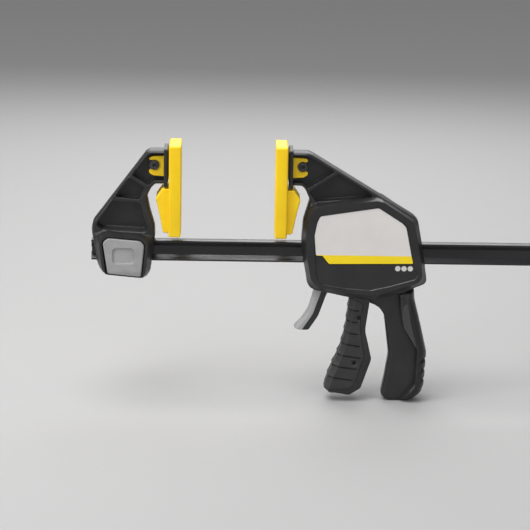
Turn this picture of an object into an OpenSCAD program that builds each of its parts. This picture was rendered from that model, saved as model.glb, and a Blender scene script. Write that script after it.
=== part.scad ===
// One-handed trigger bar clamp with a quick-change fixed jaw.
// X runs along the bar from the fixed jaw to the moving jaw, Z points from the bar to the jaw tips,
// and Y = 0 is the plane that both jaws and the bar are symmetric about.
// The origin is the centre of the fixed pad's clamping face.

/* [Jaws and pads] */
// Gap between the two pads as drawn
opening = 90; // [40:5:200]
// Largest gap between the two pads
max_opening = 300; // [240:10:460]
// Distance from the tip of a pad down to the top of the bar
throat = 95.5; // [90:0.5:120]
// Height of a pad
pad_h = 89; // [74:1:96]
// Width of a pad across the clamp
pad_w = 40; // [34:1:50]
// Thickness of a pad
pad_t = 11.5; // [9.5:0.5:14]
// Width of a jaw arm across the clamp
arm_w = 21; // [19:1:26]
// Wall thickness of the rims round the arm pockets
arm_rim = 3; // [2:0.5:3.5]
// Thickness of the web in the middle of an arm
arm_web = 6; // [5:0.5:8]
// Radius of the pins that the pads snap onto
pad_pin_r = 4.8; // [4:0.1:5.8]
// How far a pad swivels each way, degrees
pad_swing = 2.5; // [1:0.5:3]

/* [Bar] */
// Height of the bar
bar_h = 20; // [18:0.5:22]
// Width of the bar's flanges
bar_w = 11; // [9:0.5:12]
// Thickness of the bar's flanges at their edges
flange_t = 2.6; // [2:0.2:3.2]
// Thickness of the bar's web
web_t = 4; // [3:0.5:5]
// How far the bar sticks out behind the fixed jaw
bar_stub = 2; // [0:0.5:12]

/* [Quick-change lock] */
// Radius of the lock pin
lock_r = 4; // [3:0.25:4.25]
// Travel of the quick-change button
button_travel = 5; // [4.8:0.1:5.4]
// Width of the quick-change button
button_w = 38; // [32:1:40]
// Height of the quick-change button
button_h = 37; // [30:1:38]

/* [Body and handle] */
// Width of the body across the label panels
body_w = 40; // [38:1:48]
// Thickness of the body's side walls
body_wall = 2.5; // [2:0.25:3]
// Width of the handle at its raised rims
handle_w = 31; // [27:1:36]
// Width of the handle between its raised rims
handle_core_w = 16; // [13:0.5:17]
// Thickness of a label plate
label_t = 0.6; // [0.4:0.1:1]

/* [Trigger and drive] */
// Width of the trigger
trigger_w = 25; // [24:0.5:28]
// Radius of the trigger's pivot pin
trigger_pin_r = 3; // [2.5:0.25:3.5]
// Full squeeze of the trigger, degrees
squeeze = 7.5; // [4:0.5:7.5]
// Number of drive plates
drive_plate_count = 3; // [1:1:3]
// Thickness of one drive plate
drive_plate_t = 2.4; // [1.6:0.2:2.6]

/* [Brake and release] */
// Thickness of the brake plate
brake_t = 3; // [2.4:0.2:3.4]
// Lean of the brake plate while it holds, degrees
brake_lean = 2.4; // [1.8:0.1:3]
// Radius of the release lever's pivot pin
release_pin_r = 2.5; // [2:0.25:3]
// Width of the release lever
release_w = 16; // [13:1:18]

/* [Hidden] */
$fn = 48;

// Clearances
run_gap = 0.05;        // radius of a running fit
slide_gap = 0.3;       // between the bar and what slides on it
lid_gap = 0.4;         // round a button, a label or a grip in its recess
face_gap = 0.15;       // between parts that push on each other
eps = 0.01;

// Heights
bar_top = pad_h/2 - throat;
bar_z = bar_top - bar_h/2;
bar_base = bar_top - bar_h;
groove_h = bar_h - 2*flange_t;

// Noses, the same at both jaws, measured from the pad's face
pad_gap = 1.5;                     // between a pad and the flange behind it
flange_x = pad_t + pad_gap;
flange_plate = 3.4;                // thickness of that flange
nose_x = flange_x + flange_plate;
nose_top = pad_h/2 - 6.7;
nose_base = nose_top - 32.6;
flange_top = nose_top + 2.6;
flange_base = nose_base - 1.8;
flange_w = 31;
pin_x = 25.7;                      // pin behind the pad's face
pin_z = nose_top - 14.2;
fork_up = 9;                       // reach of the pad's fork above and below its pin
fork_down = 11.6;
fork_t = 4;                        // thickness of one tongue of the fork
pin_len = arm_web + 2*fork_t + 3;

// Fixed jaw
jaw_left = -85.4;
button_x = -54;
bar_x0 = jaw_left - bar_stub + 1.5;
foot_w = 37;
pin_travel_end = web_t/2 + 0.3;

// Moving jaw
mj = opening;                      // the moving jaw's own zero is its pad's face
body_left = mj + 26;
body_right = mj + 143.8;
cavity_half = body_w/2 - body_wall;
cavity_top = bar_top + 16;         // before the wall is taken off it
guide_t = 3.6;
front_guide_x = body_left + 5.6;
rear_guide_x = body_right - 8.6;
slide_out = max_opening - opening;
stop_r = 1.5;
stop_x = rear_guide_x + guide_t + slide_out + 0.3 + stop_r;
stop_dz = lock_r/2 + 0.3 + stop_r + 0.6;
bar_x1 = stop_x + 14;
lock_to_end = button_x - bar_x0;

// Trigger and drive plates
trig_x = mj + 96;
trig_z = bar_top + 8;
nose_r = 3;
nose_dx = 7;
nose_dz = -37;
drive_x = trig_x + nose_dx + nose_r + face_gap;
drive_gap = 0.2;
drive_stack = drive_plate_count*drive_plate_t + (drive_plate_count - 1)*drive_gap;
drive_half = trigger_w/2 + 0.5;
fork_half = handle_core_w/2 + 0.5;

// Brake plate and release lever
brake_x = mj + 44.5;
brake_top = bar_top + 10;
brake_foot = bar_base - 24;
heel_r = 2;
heel_dx = -16;
heel_dz = -7;
rel_z = bar_base - 12;
rel_x = brake_x - brake_t/2 - (brake_top - rel_z - heel_dz)*tan(brake_lean) - face_gap - heel_r - heel_dx;
bulkhead_x = mj + 62;

// Extrude a shape of the XZ plane from y = ya to y = yb
module slab(ya, yb)
  translate([0, yb, 0]) rotate([90, 0, 0]) linear_extrude(yb - ya) children();

// The same shape on both sides of the middle plane
module wide(half) slab(-half, half) children();

module pin_y(r, len, x, z, y = 0)
  translate([x, y, z]) rotate([90, 0, 0]) cylinder(r = r, h = len, center = true);

// Round a shape's outer corners by r and its inner corners by q
module soft(r, q = 0.01) offset(-q) offset(r + q) offset(-r) children();

// Shift points of [x, z] by dx and dz
function moved(pts, dx, dz) = [for (p = pts) [p[0] + dx, p[1] + dz]];

/* Fixed jaw outlines: nose points from the pad's face, foot points from the bar's centre line */
function jaw_nose_top() = [[-nose_x, nose_top], [-30, nose_top], [-34, nose_top - 2.8]];
function jaw_back(k) = moved([[-84.2 + k/2, 28.5], [jaw_left + k/2, 22.5], [-84.6 + k, 12]], 0, bar_z);
function jaw_nose_base() = [[-24.5, nose_base], [-nose_x, nose_base]];
function jaw_front(k) = concat(moved([[-25 - k, 12], [-24.6 - k, 24], [-29.6 - k, 40]], 0, bar_z),
                               [[-32.4 - k, nose_base - 12], [-28.5 - k/2, nose_base - 4.2]]);
function jaw_arm(k) = concat(jaw_nose_top(), jaw_back(k), jaw_front(k), jaw_nose_base());
// Middle and outer outlines of the foot
foot_mid = moved([[-85.2, 24], [-84.6, 15], [-80.5, -10], [-78.3, -16.5], [-74.5, -22], [-70, -24.2],
                  [-38, -27], [-32.5, -25], [-29, -19.5], [-26.5, -2], [-24.7, 15], [-24.8, 24]], 0, bar_z);
foot_face = moved([[-71, 20.5], [-40, 18], [-33, 14], [-31, 9], [-33.5, -20], [-36.5, -24.6], [-70.5, -21.6],
                   [-75, -17], [-77.5, 9], [-75.5, 16]], 0, bar_z);
jaw_pocket_a = [[-nose_x, nose_top - arm_rim + 0.5], [-30, nose_top - arm_rim + 0.5], [-45.8, nose_top - 22.3],
                [-30.3, nose_top - 34], [-25, nose_base + arm_rim], [-nose_x, nose_base + arm_rim]];
jaw_pocket_b = [[-48.6, nose_top - 26], [-61.5, nose_top - 42.6], [-59, nose_top - 44.4],
                [-40, nose_top - 46], [-37.3, nose_top - 44.4], [-33.4, nose_top - 36.6]];
jaw_pocket_c = concat([[-65.2, nose_top - 48.8], [-41, nose_top - 50], [-38.5, nose_top - 52]],
                      moved([[-33, 25], [-35, 22.5], [-77, 25], [-79, 28]], 0, bar_z));

/* Moving jaw outlines, measured like the fixed jaw's: x from the pad's face */
function m(pts) = moved(pts, mj, 0);
arm_top_pts = m([[nose_x, nose_top], [30.5, nose_top], [34.5, nose_top - 1.5]]);
shoulder = moved([[133.7, 37.5], [137.8, 33]], mj, bar_z);
arm_low = m([[nose_x, nose_base], [25, nose_base], [28.5, nose_base - 3.5], [33, nose_base - 12]]);
body_mid = moved([[34.5, 53.5], [27.2, 32], [26, 11], [28.5, -8], [32, -29], [34.6, -34], [38.5, -36.5],
                  [51, -39.6], [69, -42.4], [88, -44.5], [98, -44.5], [122, -39.5], [137, -33.6],
                  [145, -30.5], [147.6, -26], [147.4, -22], [141.7, 13], [137.8, 33], [133.7, 37.5], [96, 60]],
                 mj, bar_z);
panel_pts = moved([[38.7, 48.2], [66.2, 52.2], [96.5, 55.2], [103.2, 54.1], [127.6, 37.8], [132.5, 34.4],
                   [140.6, -3.9], [142.1, -19.7], [138.5, -24.7], [98.5, -37.3], [86, -37], [42.5, -30.1],
                   [35.6, -23.2], [31.2, 1.5], [30.1, 20.2], [34.1, 40.8]], mj, bar_z);
body_pocket_a = m([[nose_x, nose_top - arm_rim], [31, nose_top - arm_rim], [53, nose_top - 16.2],
                   [31, nose_top - 32.2], [26, nose_base + arm_rim], [nose_x, nose_base + arm_rim]]);
body_pocket_b = concat(m([[57, nose_top - 18.6]]),
                       moved([[88.5, 59], [88, 56.6], [40, 53]], mj, bar_z),
                       m([[33.5, nose_top - 35.5]]));
label_pts = moved([[43.2, 39.3], [98.7, 48.1], [122, 33.3], [125.5, 29.4], [131.2, 2.4], [133.3, -6],
                   [52.5, -7.3], [46, 0.7], [39.8, 0.8], [38.1, 20.3], [40.5, 33.1]], mj, bar_z);

/* Handle and trigger outlines, from the moving pad's face and the bar's centre line */
handle_pts = moved([[107.5, -38], [107.5, -58.8], [109.6, -73], [113.4, -100.4], [110.3, -124], [107.4, -140.4],
                    [113, -146.2], [127.8, -145.4], [136, -144.6], [144.2, -138], [148, -130.5],
                    [149.8, -97.9], [144.8, -74.5], [136.9, -44.3], [136.1, -36]], mj, bar_z);
web_pts = moved([[93, -38], [93, -50], [98, -51.5], [103, -54], [108.5, -60], [112, -60], [112, -38]], mj, bar_z);
rim_area = moved([[121.1, -36], [122.1, -53.6], [125, -69.7], [139.5, -94.8], [138.3, -128.4], [126.6, -143.5],
                  [127.2, -155], [160, -155], [160, -36]], mj, bar_z);
strap_area = moved([[131.3, -43], [134, -66], [139.5, -86], [142.4, -94], [141.6, -128], [137, -136],
                    [129.5, -145.5], [129.5, -155], [160, -155], [160, -43]], mj, bar_z);
inlay_pts = moved([[129.5, -46.5], [125.6, -51.5], [125.3, -62], [127.3, -71.5], [140.5, -93.5], [138.3, -86],
                   [133, -66]], mj, bar_z);
handle_hollow = moved([[113.5, -64], [115, -75], [118, -99], [115, -124], [113, -141], [125, -142], [136, -128],
                       [137, -98], [131, -75]], mj, bar_z);
trigger_pts = moved([[73.6, -40], [70.1, -75], [66.6, -89.3], [59.3, -109.7], [51.4, -133.8], [55.2, -137.4],
                     [74.8, -140.7], [85.8, -133.9], [95.7, -104.1], [89.5, -75.3], [93.4, -44.6],
                     [92.5, -40]], mj, bar_z);
grip_line = moved([[84.8, -47.2], [86.8, -50.7], [84.5, -69.8], [84.3, -80], [89.8, -103.2], [82.3, -128.8],
                   [77.5, -134], [54, -131.4], [40, -131.4], [62, -45]], mj, bar_z);
lever_neck = moved([[39.1, -36], [39.1, -38.6], [33.7, -58], [28.6, -67.2], [20.9, -74.6], [29.4, -76.8],
                    [35.6, -76.4], [44, -62.4], [51.2, -40.5], [53, -36]], mj, bar_z);
cover_area = moved([[45.1, -40.5], [38.8, -61], [27.8, -79], [10, -79], [10, -40.5]], mj, bar_z);

// Screws that join the body halves, [x, z, distance of the head from the middle plane]
screw_r = 1.8;
screw_head_r = 3.6;
screw_bite = 6;                    // how far the screws reach into the front half
screws = [for (s = [[46, 37, cavity_half - 3], [115, 36, cavity_half - 3], [131, -19, cavity_half - 3],
                    [67, -28, cavity_half - 3], [124, -52, handle_w/2 - 5], [119, -104, handle_core_w/2 - 3],
                    [121, -139, handle_core_w/2 - 3]])
          [mj + s[0], bar_z + s[1], s[2]]];

// A round wire wound along +X from x = 0: its end turns lie closed, and its free turns share the rest
function coil_x(u, turns, len, wire) =
  let (shut = 1.06*wire, free = len - wire - 2*shut)
  wire/2 + (u < 1 ? u*shut : u > turns - 1 ? len - wire - (turns - u)*shut
            : shut + (u - 1)*free/(turns - 2));
module coil(r, wire, turns, len, sides = 6, steps = 18) {
  n = floor(turns*steps);
  points = [for (i = [0:n]) let (a = 360*i/steps, x = coil_x(i/steps, turns, len, wire))
            for (j = [0:sides - 1]) let (b = 360*j/sides, q = r + wire/2*cos(b))
              [x + wire/2*sin(b), q*cos(a), q*sin(a)]];
  skins = [for (i = [0:n - 1], j = [0:sides - 1]) let (k = (j + 1)%sides)
           [i*sides + j, i*sides + k, (i + 1)*sides + k, (i + 1)*sides + j]];
  polyhedron(points,
             concat([for (f = skins) [f[0], f[1], f[2]]], [for (f = skins) [f[0], f[2], f[3]]],
                    [[for (j = [sides - 1:-1:0]) j]], [[for (j = [0:sides - 1]) n*sides + j]]));
}

/* Bar */
module bar_section(grow = 0) {
  w = bar_w/2 + grow;
  h = bar_h/2 + grow;
  g = groove_h/2 - grow;
  t = web_t/2 + grow;
  slope = 1.6;
  polygon([[-w, -h], [w, -h], [w, -g - slope/2], [t + slope, -g + slope/2], [t, -g + 2*slope], [t, g - 2*slope],
           [t + slope, g - slope/2], [w, g + slope/2], [w, h], [-w, h], [-w, g + slope/2],
           [-t - slope, g - slope/2], [-t, g - 2*slope], [-t, -g + 2*slope], [-t - slope, -g + slope/2],
           [-w, -g - slope/2]]);
}
module along_bar(x0, x1) translate([x0, 0, bar_z]) rotate([90, 0, 90]) linear_extrude(x1 - x0) children();
module keyhole(x, end) {
  pin_y(lock_r + run_gap, web_t + 2, x, bar_z);
  lo = min(x, end);
  translate([lo, -web_t, bar_z - lock_r/2 - 0.3]) cube([abs(end - x), 2*web_t, lock_r + 0.6]);
}
module bar() color([0.12, 0.12, 0.13])
  difference() {
    along_bar(bar_x0, bar_x1) bar_section();
    keyhole(button_x, bar_x0 - 1);
    keyhole(bar_x1 - lock_to_end, bar_x1 + 1);
    for (s = [-1, 1]) pin_y(stop_r, bar_w, stop_x, bar_z + s*stop_dz);
  }
module bar_stop_pins() color([0.6, 0.6, 0.62])
  for (s = [-1, 1]) pin_y(stop_r, bar_w - 0.4, stop_x, bar_z + s*stop_dz);
module bar_tunnel(x0, x1) along_bar(x0, x1) square([bar_w + 2*slide_gap, bar_h + 2*slide_gap], center = true);

/* Nose shared by both jaws: flange with the windows for the pad's fork, at x from the pad's face */
module nose_flange()
  difference() {
    translate([-nose_x, -flange_w/2, flange_base]) cube([flange_plate, flange_w, flange_top - flange_base]);
    fork_windows(1);
  }
module fork_windows(gap)
  for (s = [-1, 1])
    translate([-nose_x - 1, s*(arm_web/2 + fork_t/2) - fork_t/2 - 0.4, pin_z - fork_down - gap])
      cube([flange_plate + 2, fork_t + 0.8, fork_up + fork_down + 2*gap]);

/* Fixed jaw */
module fixed_jaw() color([0.16, 0.16, 0.17])
  difference() {
    union() {
      difference() {
        union() {
          wide(arm_w/4) soft(2) polygon(jaw_arm(0));
          wide(arm_w/2) soft(2) polygon(jaw_arm(3));
        }
        for (s = [-1, 1]) slab(s > 0 ? arm_web/2 : -arm_w, s > 0 ? arm_w : -arm_web/2) {
          soft(2) polygon(jaw_pocket_a);
          soft(1.5) polygon(jaw_pocket_b);
          soft(2) polygon(jaw_pocket_c);
        }
      }
      hull() {
        wide(5) polygon(foot_mid);
        wide(foot_w/2) polygon(foot_face);
      }
      nose_flange();
    }
    bar_tunnel(jaw_left - 5, 0);
    pin_y(pad_pin_r + run_gap, arm_w, -pin_x, pin_z);
    button_recess();
    pin_y(lock_r + run_gap, foot_w/2, button_x, bar_z, -foot_w/4);
    translate([button_x, 0, bar_z]) rotate([-90, 0, 0])
      cylinder(r = lock_r + run_gap, h = pin_travel_end + button_travel + 0.7);
  }
button_floor = -foot_w/2 + 2.4 + button_travel + 0.2;
spring_seat = button_floor + 2.6;
module button_shape(gap = 0)
  translate([button_x + 0.5, bar_z - 3.2]) offset(gap) soft(3)
    polygon([[-button_w/2 - 0.8, button_h/2 - 3], [-button_w/2 + 4, button_h/2 + 0.6],
             [button_w/2 - 7, button_h/2 - 1.8], [button_w/2, button_h/2 - 9],
             [button_w/2 - 3.2, -button_h/2 - 1.6], [-button_w/2 + 3.2, -button_h/2 + 1.2]]);
module button_recess() {
  slab(-foot_w, button_floor) button_shape(lid_gap);
  slab(button_floor - eps, spring_seat) translate([button_x, bar_z]) circle(r = lock_r + 2.6);
}
module quick_change_button() color([0.66, 0.66, 0.65])
  difference() {
    slab(-foot_w/2 - 0.4, -foot_w/2 + 2) button_shape();
    slab(-foot_w, -foot_w/2 + 0.4) translate([button_x - 0.2, bar_z - 2]) soft(2.4) square([20, 13.5], center = true);
    pin_y(lock_r - 1.5, 3, button_x, bar_z, -foot_w/2 + 2.5);
  }
neck_r = lock_r/2 - 0.1;
module lock_pin() color([0.72, 0.72, 0.74])
  translate([button_x, 0, bar_z]) rotate([-90, 0, 0]) rotate_extrude()
    polygon([[0, -foot_w/2 + 1.2], [lock_r - 1.5, -foot_w/2 + 1.2], [lock_r - 1.5, -foot_w/2 + 2],
             [lock_r, -foot_w/2 + 2.05], [lock_r, -web_t/2 - 0.3 - button_travel],
             [neck_r, -web_t/2 - 0.3 - button_travel], [neck_r, -web_t/2 - 0.3],
             [lock_r, -web_t/2 - 0.3], [lock_r, pin_travel_end], [0, pin_travel_end]]);
module lock_spring() color([0.75, 0.75, 0.77])
  translate([button_x, -foot_w/2 + 2 + face_gap, bar_z]) rotate([0, 0, 90])
    coil(lock_r + 1.5, 0.8, 4, spring_seat + foot_w/2 - 2 - 2*face_gap, 6, 16);

/* Pads: x from the clamping face, back towards the jaw */
wedge_pts = [[-pad_t + 1, flange_base - 1.6], [-17, flange_base - 1.4], [-23.4, flange_base - 9.8],
             [-19.2, flange_base - 25], [-16, -pad_h/2 + 3.4], [-pad_t + 1, -pad_h/2 + 3.2]];
module pad() {
  difference() {
    union() {
      rotate([0, -90, 0]) linear_extrude(pad_t)
        soft(2) square([pad_h, pad_w], center = true);
      wide(pad_w/2 - 5) soft(1.2) polygon(wedge_pts);
      for (s = [-1, 1])
        slab(s > 0 ? arm_web/2 + 0.3 : -arm_web/2 - fork_t + 0.1, s > 0 ? arm_web/2 + fork_t - 0.1 : -arm_web/2 - 0.3)
          soft(1.5) polygon([[-pad_t + 1, pin_z + fork_up], [-pin_x - 2.5, pin_z + fork_up - 1.2],
                             [-pin_x - 5, pin_z + fork_up - 3.2], [-pin_x - 5, pin_z - fork_down + 4.4],
                             [-pin_x - 2.5, pin_z - fork_down + 2], [-pad_t + 1, pin_z - fork_down]]);
    }
    pin_y(pad_pin_r + run_gap, pad_w, -pin_x, pin_z);
    translate([-pin_x - 10, -pad_w/2, pin_z - pad_pin_r + 0.6]) cube([10, pad_w, 2*pad_pin_r - 1.2]);
  }
}
module pad_pin() difference() {
  pin_y(pad_pin_r, pin_len, -pin_x, pin_z);
  for (s = [-1, 1]) pin_y(1.9, 4, -pin_x, pin_z, s*pin_len/2);
}
module fixed_pad() color([0.98, 0.84, 0.02]) pad();
module fixed_pad_pin() color([0.2, 0.2, 0.21]) pad_pin();
module moving_pad() color([0.98, 0.84, 0.02]) translate([mj, 0, 0]) mirror([1, 0, 0]) pad();
module moving_pad_pin() color([0.2, 0.2, 0.21]) translate([mj, 0, 0]) mirror([1, 0, 0]) pad_pin();

/* Moving jaw body: two half shells with the arm and the handle */
module arm_outline() polygon(concat(arm_top_pts, shoulder, moved([[120, 20], [60, 20], [27.5, 33]], mj, bar_z),
                                    [arm_low[3], arm_low[2], arm_low[1], arm_low[0]]));
module body_block() {
  difference() {
    union() {
      wide(arm_w/2) soft(2) arm_outline();
      hull() {
        wide(5) polygon(body_mid);
        wide(body_w/2) polygon(panel_pts);
      }
    }
    for (s = [-1, 1]) slab(s > 0 ? arm_web/2 : -body_w, s > 0 ? body_w : -arm_web/2) {
      soft(2) polygon(body_pocket_a);
      soft(2) polygon(body_pocket_b);
    }
  }
  translate([mj, 0, 0]) mirror([1, 0, 0]) nose_flange();
  wide(handle_core_w/2) {
    handle_outline();
    soft(1, 2) { polygon(web_pts); polygon(handle_pts); }
  }
  wide(handle_w/2) intersection() {
    handle_outline();
    polygon(rim_area);
  }
}
module cavity() {
  wide(cavity_half) offset(-body_wall - 1) intersection() {
    polygon(panel_pts);
    translate([mj, bar_base - 30]) square([200, cavity_top - bar_base + 30]);
  }
  wide(10) offset(-body_wall - 1.5) intersection() {
    polygon(body_mid);
    translate([mj, bar_base - 30]) square([200, cavity_top - bar_base + 30]);
  }
  wide(handle_core_w/2 - 2.5) soft(2) polygon(handle_hollow);
}
module lever_window()
  translate([mj + 36.5, -release_w/2 - 0.8, bar_base - 40]) cube([21.5, release_w + 1.6, 30]);
module trigger_window()
  difference() {
    translate([mj + 71, -trigger_w/2 - 0.8, bar_base - 40]) cube([35, trigger_w + 1.6, 30]);
    translate([mj + 92.8, -handle_core_w/2, bar_base - 41]) cube([20, handle_core_w, 18]);
  }
module bosses() {
  for (s = screws) pin_y(screw_r + 2.4, body_w, s[0], s[1]);
  pin_y(trigger_pin_r + 3.5, body_w - 1, trig_x, trig_z);
  pin_y(release_pin_r + 3, body_w - 2, rel_x, rel_z);
  // ribs that the plates and springs bear on
  translate([bulkhead_x, -cavity_half - 0.5, bar_base - 9]) cube([3, 2*cavity_half + 1, brake_top - bar_base + 13]);
  translate([front_guide_x + guide_t, -cavity_half - 0.5, brake_top - 1])
    cube([brake_x - brake_t/2 - 0.1 - front_guide_x - guide_t, 2*cavity_half + 1, 6]);
}
module guide_block(x, t, gap) {
  along_bar(x - gap, x + t + gap) square([bar_w + 12 + 2*gap, bar_h + 12 + 2*gap], center = true);
}
module body_shell() {
  difference() {
    union() {
      difference() {
        body_block();
        cavity();
      }
      intersection() {
        bosses();
        body_hold();
      }
    }
    // room between the two bosses of each pin for the lever that turns on it
    pin_y(trigger_pin_r + 4.5, trigger_w + 0.8, trig_x, trig_z);
    pin_y(release_pin_r + 4.5, release_w + 0.8, rel_x, rel_z);
    bar_tunnel(body_left - 10, body_right + 30);
    guide_block(front_guide_x, guide_t, 0.05);
    guide_block(rear_guide_x, guide_t, 0.05);
    lever_window();
    trigger_window();
    pin_y(pad_pin_r + run_gap, arm_w, mj + pin_x, pin_z);
    pin_y(trigger_pin_r + run_gap, body_w - 2*1.6, trig_x, trig_z);
    pin_y(release_pin_r + run_gap, body_w - 2*2.4, rel_x, rel_z);
    for (s = [-1, 1]) label_recess(s);
    strap_recess();
    for (s = [-1, 1]) inlay_recess(s);
  }
}
// The space that bosses and ribs may fill: the body's own outline, well inside its skin
module body_hold() {
  wide(body_w/2 - 0.8) offset(-1) polygon(panel_pts);
  wide(8) offset(-1) polygon(body_mid);
  wide(handle_core_w/2 - 1) offset(-1) polygon(handle_pts);
}
module label_recess(s)
  slab(s > 0 ? body_w/2 - label_t : -body_w, s > 0 ? body_w : -body_w/2 + label_t) offset(0.15) soft(2) polygon(label_pts);
module label_plate(s)
  slab(s > 0 ? body_w/2 - label_t : -body_w/2, s > 0 ? body_w/2 : -body_w/2 + label_t) soft(2) polygon(label_pts);
module strap_recess() wide(handle_w) polygon(strap_area);
module handle_outline() soft(1.5) polygon(handle_pts);
module inlay_recess(s)
  slab(s > 0 ? handle_w/2 - 1 : -handle_w, s > 0 ? handle_w : -handle_w/2 + 1) offset(0.1) soft(1) polygon(inlay_pts);

module body_front() color([0.16, 0.16, 0.17])
  difference() {
    intersection() {
      body_shell();
      translate([0, -100, -400]) cube([600, 100, 600]);
    }
    for (s = screws) pin_y(screw_r, 2*(screw_bite + 1), s[0], s[1]);
  }
module body_rear() color([0.16, 0.16, 0.17])
  difference() {
    intersection() {
      body_shell();
      translate([0, 0, -400]) cube([600, 100, 600]);
    }
    for (s = screws) {
      pin_y(screw_r + 0.2, 80, s[0], s[1]);
      pin_y(screw_head_r + 0.3, 80, s[0], s[1], s[2] + 40);
    }
  }
module body_screws() color([0.5, 0.5, 0.52])
  for (s = screws) difference() {
    union() {
      pin_y(screw_r - run_gap, s[2] + screw_bite + 1, s[0], s[1], (s[2] + 1 - screw_bite)/2);
      pin_y(screw_head_r, 2.2, s[0], s[1], s[2] + 1.15);
    }
    pin_y(1.4, 2.4, s[0], s[1], s[2] + 2);
  }
module label_front() color([0.8, 0.79, 0.76]) label_plate(-1);
module label_rear() color([0.8, 0.79, 0.76]) label_plate(1);

module bar_guide(x)
  along_bar(x, x + guide_t)
    difference() {
      square([bar_w + 12, bar_h + 12], center = true);
      square([bar_w + 2*slide_gap, bar_h + 2*slide_gap], center = true);
    }
// Tongues that run in the bar's grooves and meet the stop pins
module guide_tongues(x)
  for (s = [-1, 1])
    translate([x, s > 0 ? web_t/2 + 0.5 : -bar_w/2 - slide_gap - eps, bar_z - groove_h/2 + 3])
      cube([guide_t, bar_w/2 - web_t/2 + slide_gap - 0.5 + eps, groove_h - 6]);
module front_bar_guide() color([0.45, 0.46, 0.48]) bar_guide(front_guide_x);
module rear_bar_guide() color([0.45, 0.46, 0.48]) {
  bar_guide(rear_guide_x);
  guide_tongues(rear_guide_x);
}

/* Trigger: a fork over the bar, pinned above it, and a hollow blade below */
cheek_pts = concat(moved([[73.6, -41], [76, -22], [86, -4]], mj, bar_z),
                   [[trig_x - 6.5, trig_z], [trig_x + nose_dx, trig_z], [trig_x + nose_dx, trig_z + nose_dz]],
                   moved([[97, -28], [93, -41]], mj, bar_z));
module trigger_body()
  difference() {
    union() {
      wide(trigger_w/2) soft(1.5) polygon(trigger_pts);
      wide(trigger_w/2) soft(1, 2) {
        polygon(cheek_pts);
        translate([trig_x, trig_z]) circle(r = trigger_pin_r + 4);
      }
      pin_y(nose_r, trigger_w, trig_x + nose_dx, trig_z + nose_dz);
    }
    // fork, and the hollow that the handle's web enters
    translate([mj + 60, -fork_half, bar_z - 36]) cube([60, 2*fork_half, 70]);
    translate([mj + 82, -fork_half, bar_z - 56]) cube([30, 2*fork_half, 40]);
    pin_y(trigger_pin_r + run_gap, 60, trig_x, trig_z);
  }
grip_skin = 2.2;
module grip_area(grow = 0) intersection() {
  offset(grow) soft(1.5) polygon(trigger_pts);
  offset(grow) soft(2) polygon(grip_line);
}
// What the grip wraps: the blade behind its front skin, and everything to the rear of it
module grip_core()
  wide(trigger_w/2 - grip_skin) offset(-3) {
    polygon(trigger_pts);
    for (back = [3, 30]) translate([back, 0]) polygon(trigger_pts);
  }
// The grip wraps the blade's front and both its sides
module grip_solid()
  difference() {
    wide(trigger_w/2) grip_area();
    grip_core();
    for (s = [-1, 1], p = trig_screw_at) pin_y(2.3, 2*grip_skin + 1, p[0], p[1], s*trigger_w/2);
  }
trig_screw_at = moved([[83.1, -62.8], [79.7, -108.4]], mj, bar_z);
module trigger() color([0.15, 0.15, 0.16])
  difference() {
    trigger_body();
    difference() {
      wide(trigger_w) grip_area(0);
      grip_core();
    }
    for (p = trig_screw_at) pin_y(1.3, 60, p[0], p[1]);
  }
module trigger_grip() color([0.2, 0.2, 0.21])
  difference() {
    grip_solid();
    for (k = [0:7]) grip_groove(k);
  }
// Cross grooves in the grip's sides, square to the blade
module grip_groove(k) {
  z = bar_z - 42 - k*11.3;
  for (s = [-1, 1]) translate([mj + 45, s*trigger_w/2, z]) rotate([0, 3, 0]) cube([90, 0.8, 0.9], center = true);
}
module trigger_screws() color([0.5, 0.5, 0.52])
  for (p = trig_screw_at) {
    pin_y(1.25, trigger_w - 2*grip_skin, p[0], p[1]);
    for (s = [-1, 1]) pin_y(2.1, 0.8, p[0], p[1], s*(trigger_w/2 - grip_skin + 0.4));
  }
module trigger_pin() color([0.7, 0.7, 0.72]) pin_y(trigger_pin_r, body_w - 2*1.8, trig_x, trig_z);

module drive_plates() color([0.5, 0.5, 0.52])
  for (k = [0:drive_plate_count - 1])
    along_bar(drive_x + k*(drive_plate_t + drive_gap), drive_x + k*(drive_plate_t + drive_gap) + drive_plate_t)
      difference() {
        translate([0, -2.5]) soft(2) square([2*drive_half, bar_h + 27], center = true);
        square([bar_w + 2*slide_gap, bar_h + 2*slide_gap], center = true);
      }
drive_spring_x = drive_x + drive_stack + face_gap;
module drive_spring() color([0.75, 0.75, 0.77])
  translate([drive_spring_x, 0, bar_z])
    coil(sqrt(bar_h*bar_h + bar_w*bar_w)/2 + 1.8, 1.8, 5, rear_guide_x - drive_spring_x - face_gap, 8, 22);

/* Release lever, turning on a pin below the bar, its heel in front of the brake plate's foot */
module lever_shape() {
  soft(1, 1) {
    polygon(lever_neck);
    hull() {
      translate([rel_x, rel_z]) circle(r = release_pin_r + 4);
      translate([mj + 45, bar_z - 37]) square([8, 1]);
      translate([mj + 40, bar_z - 38]) square([8, 1]);
    }
    hull() {
      translate([rel_x + heel_dx, rel_z + heel_dz]) circle(r = heel_r);
      translate([mj + 38.9, bar_z - 38]) square([3, 1]);
    }
  }
}
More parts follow.
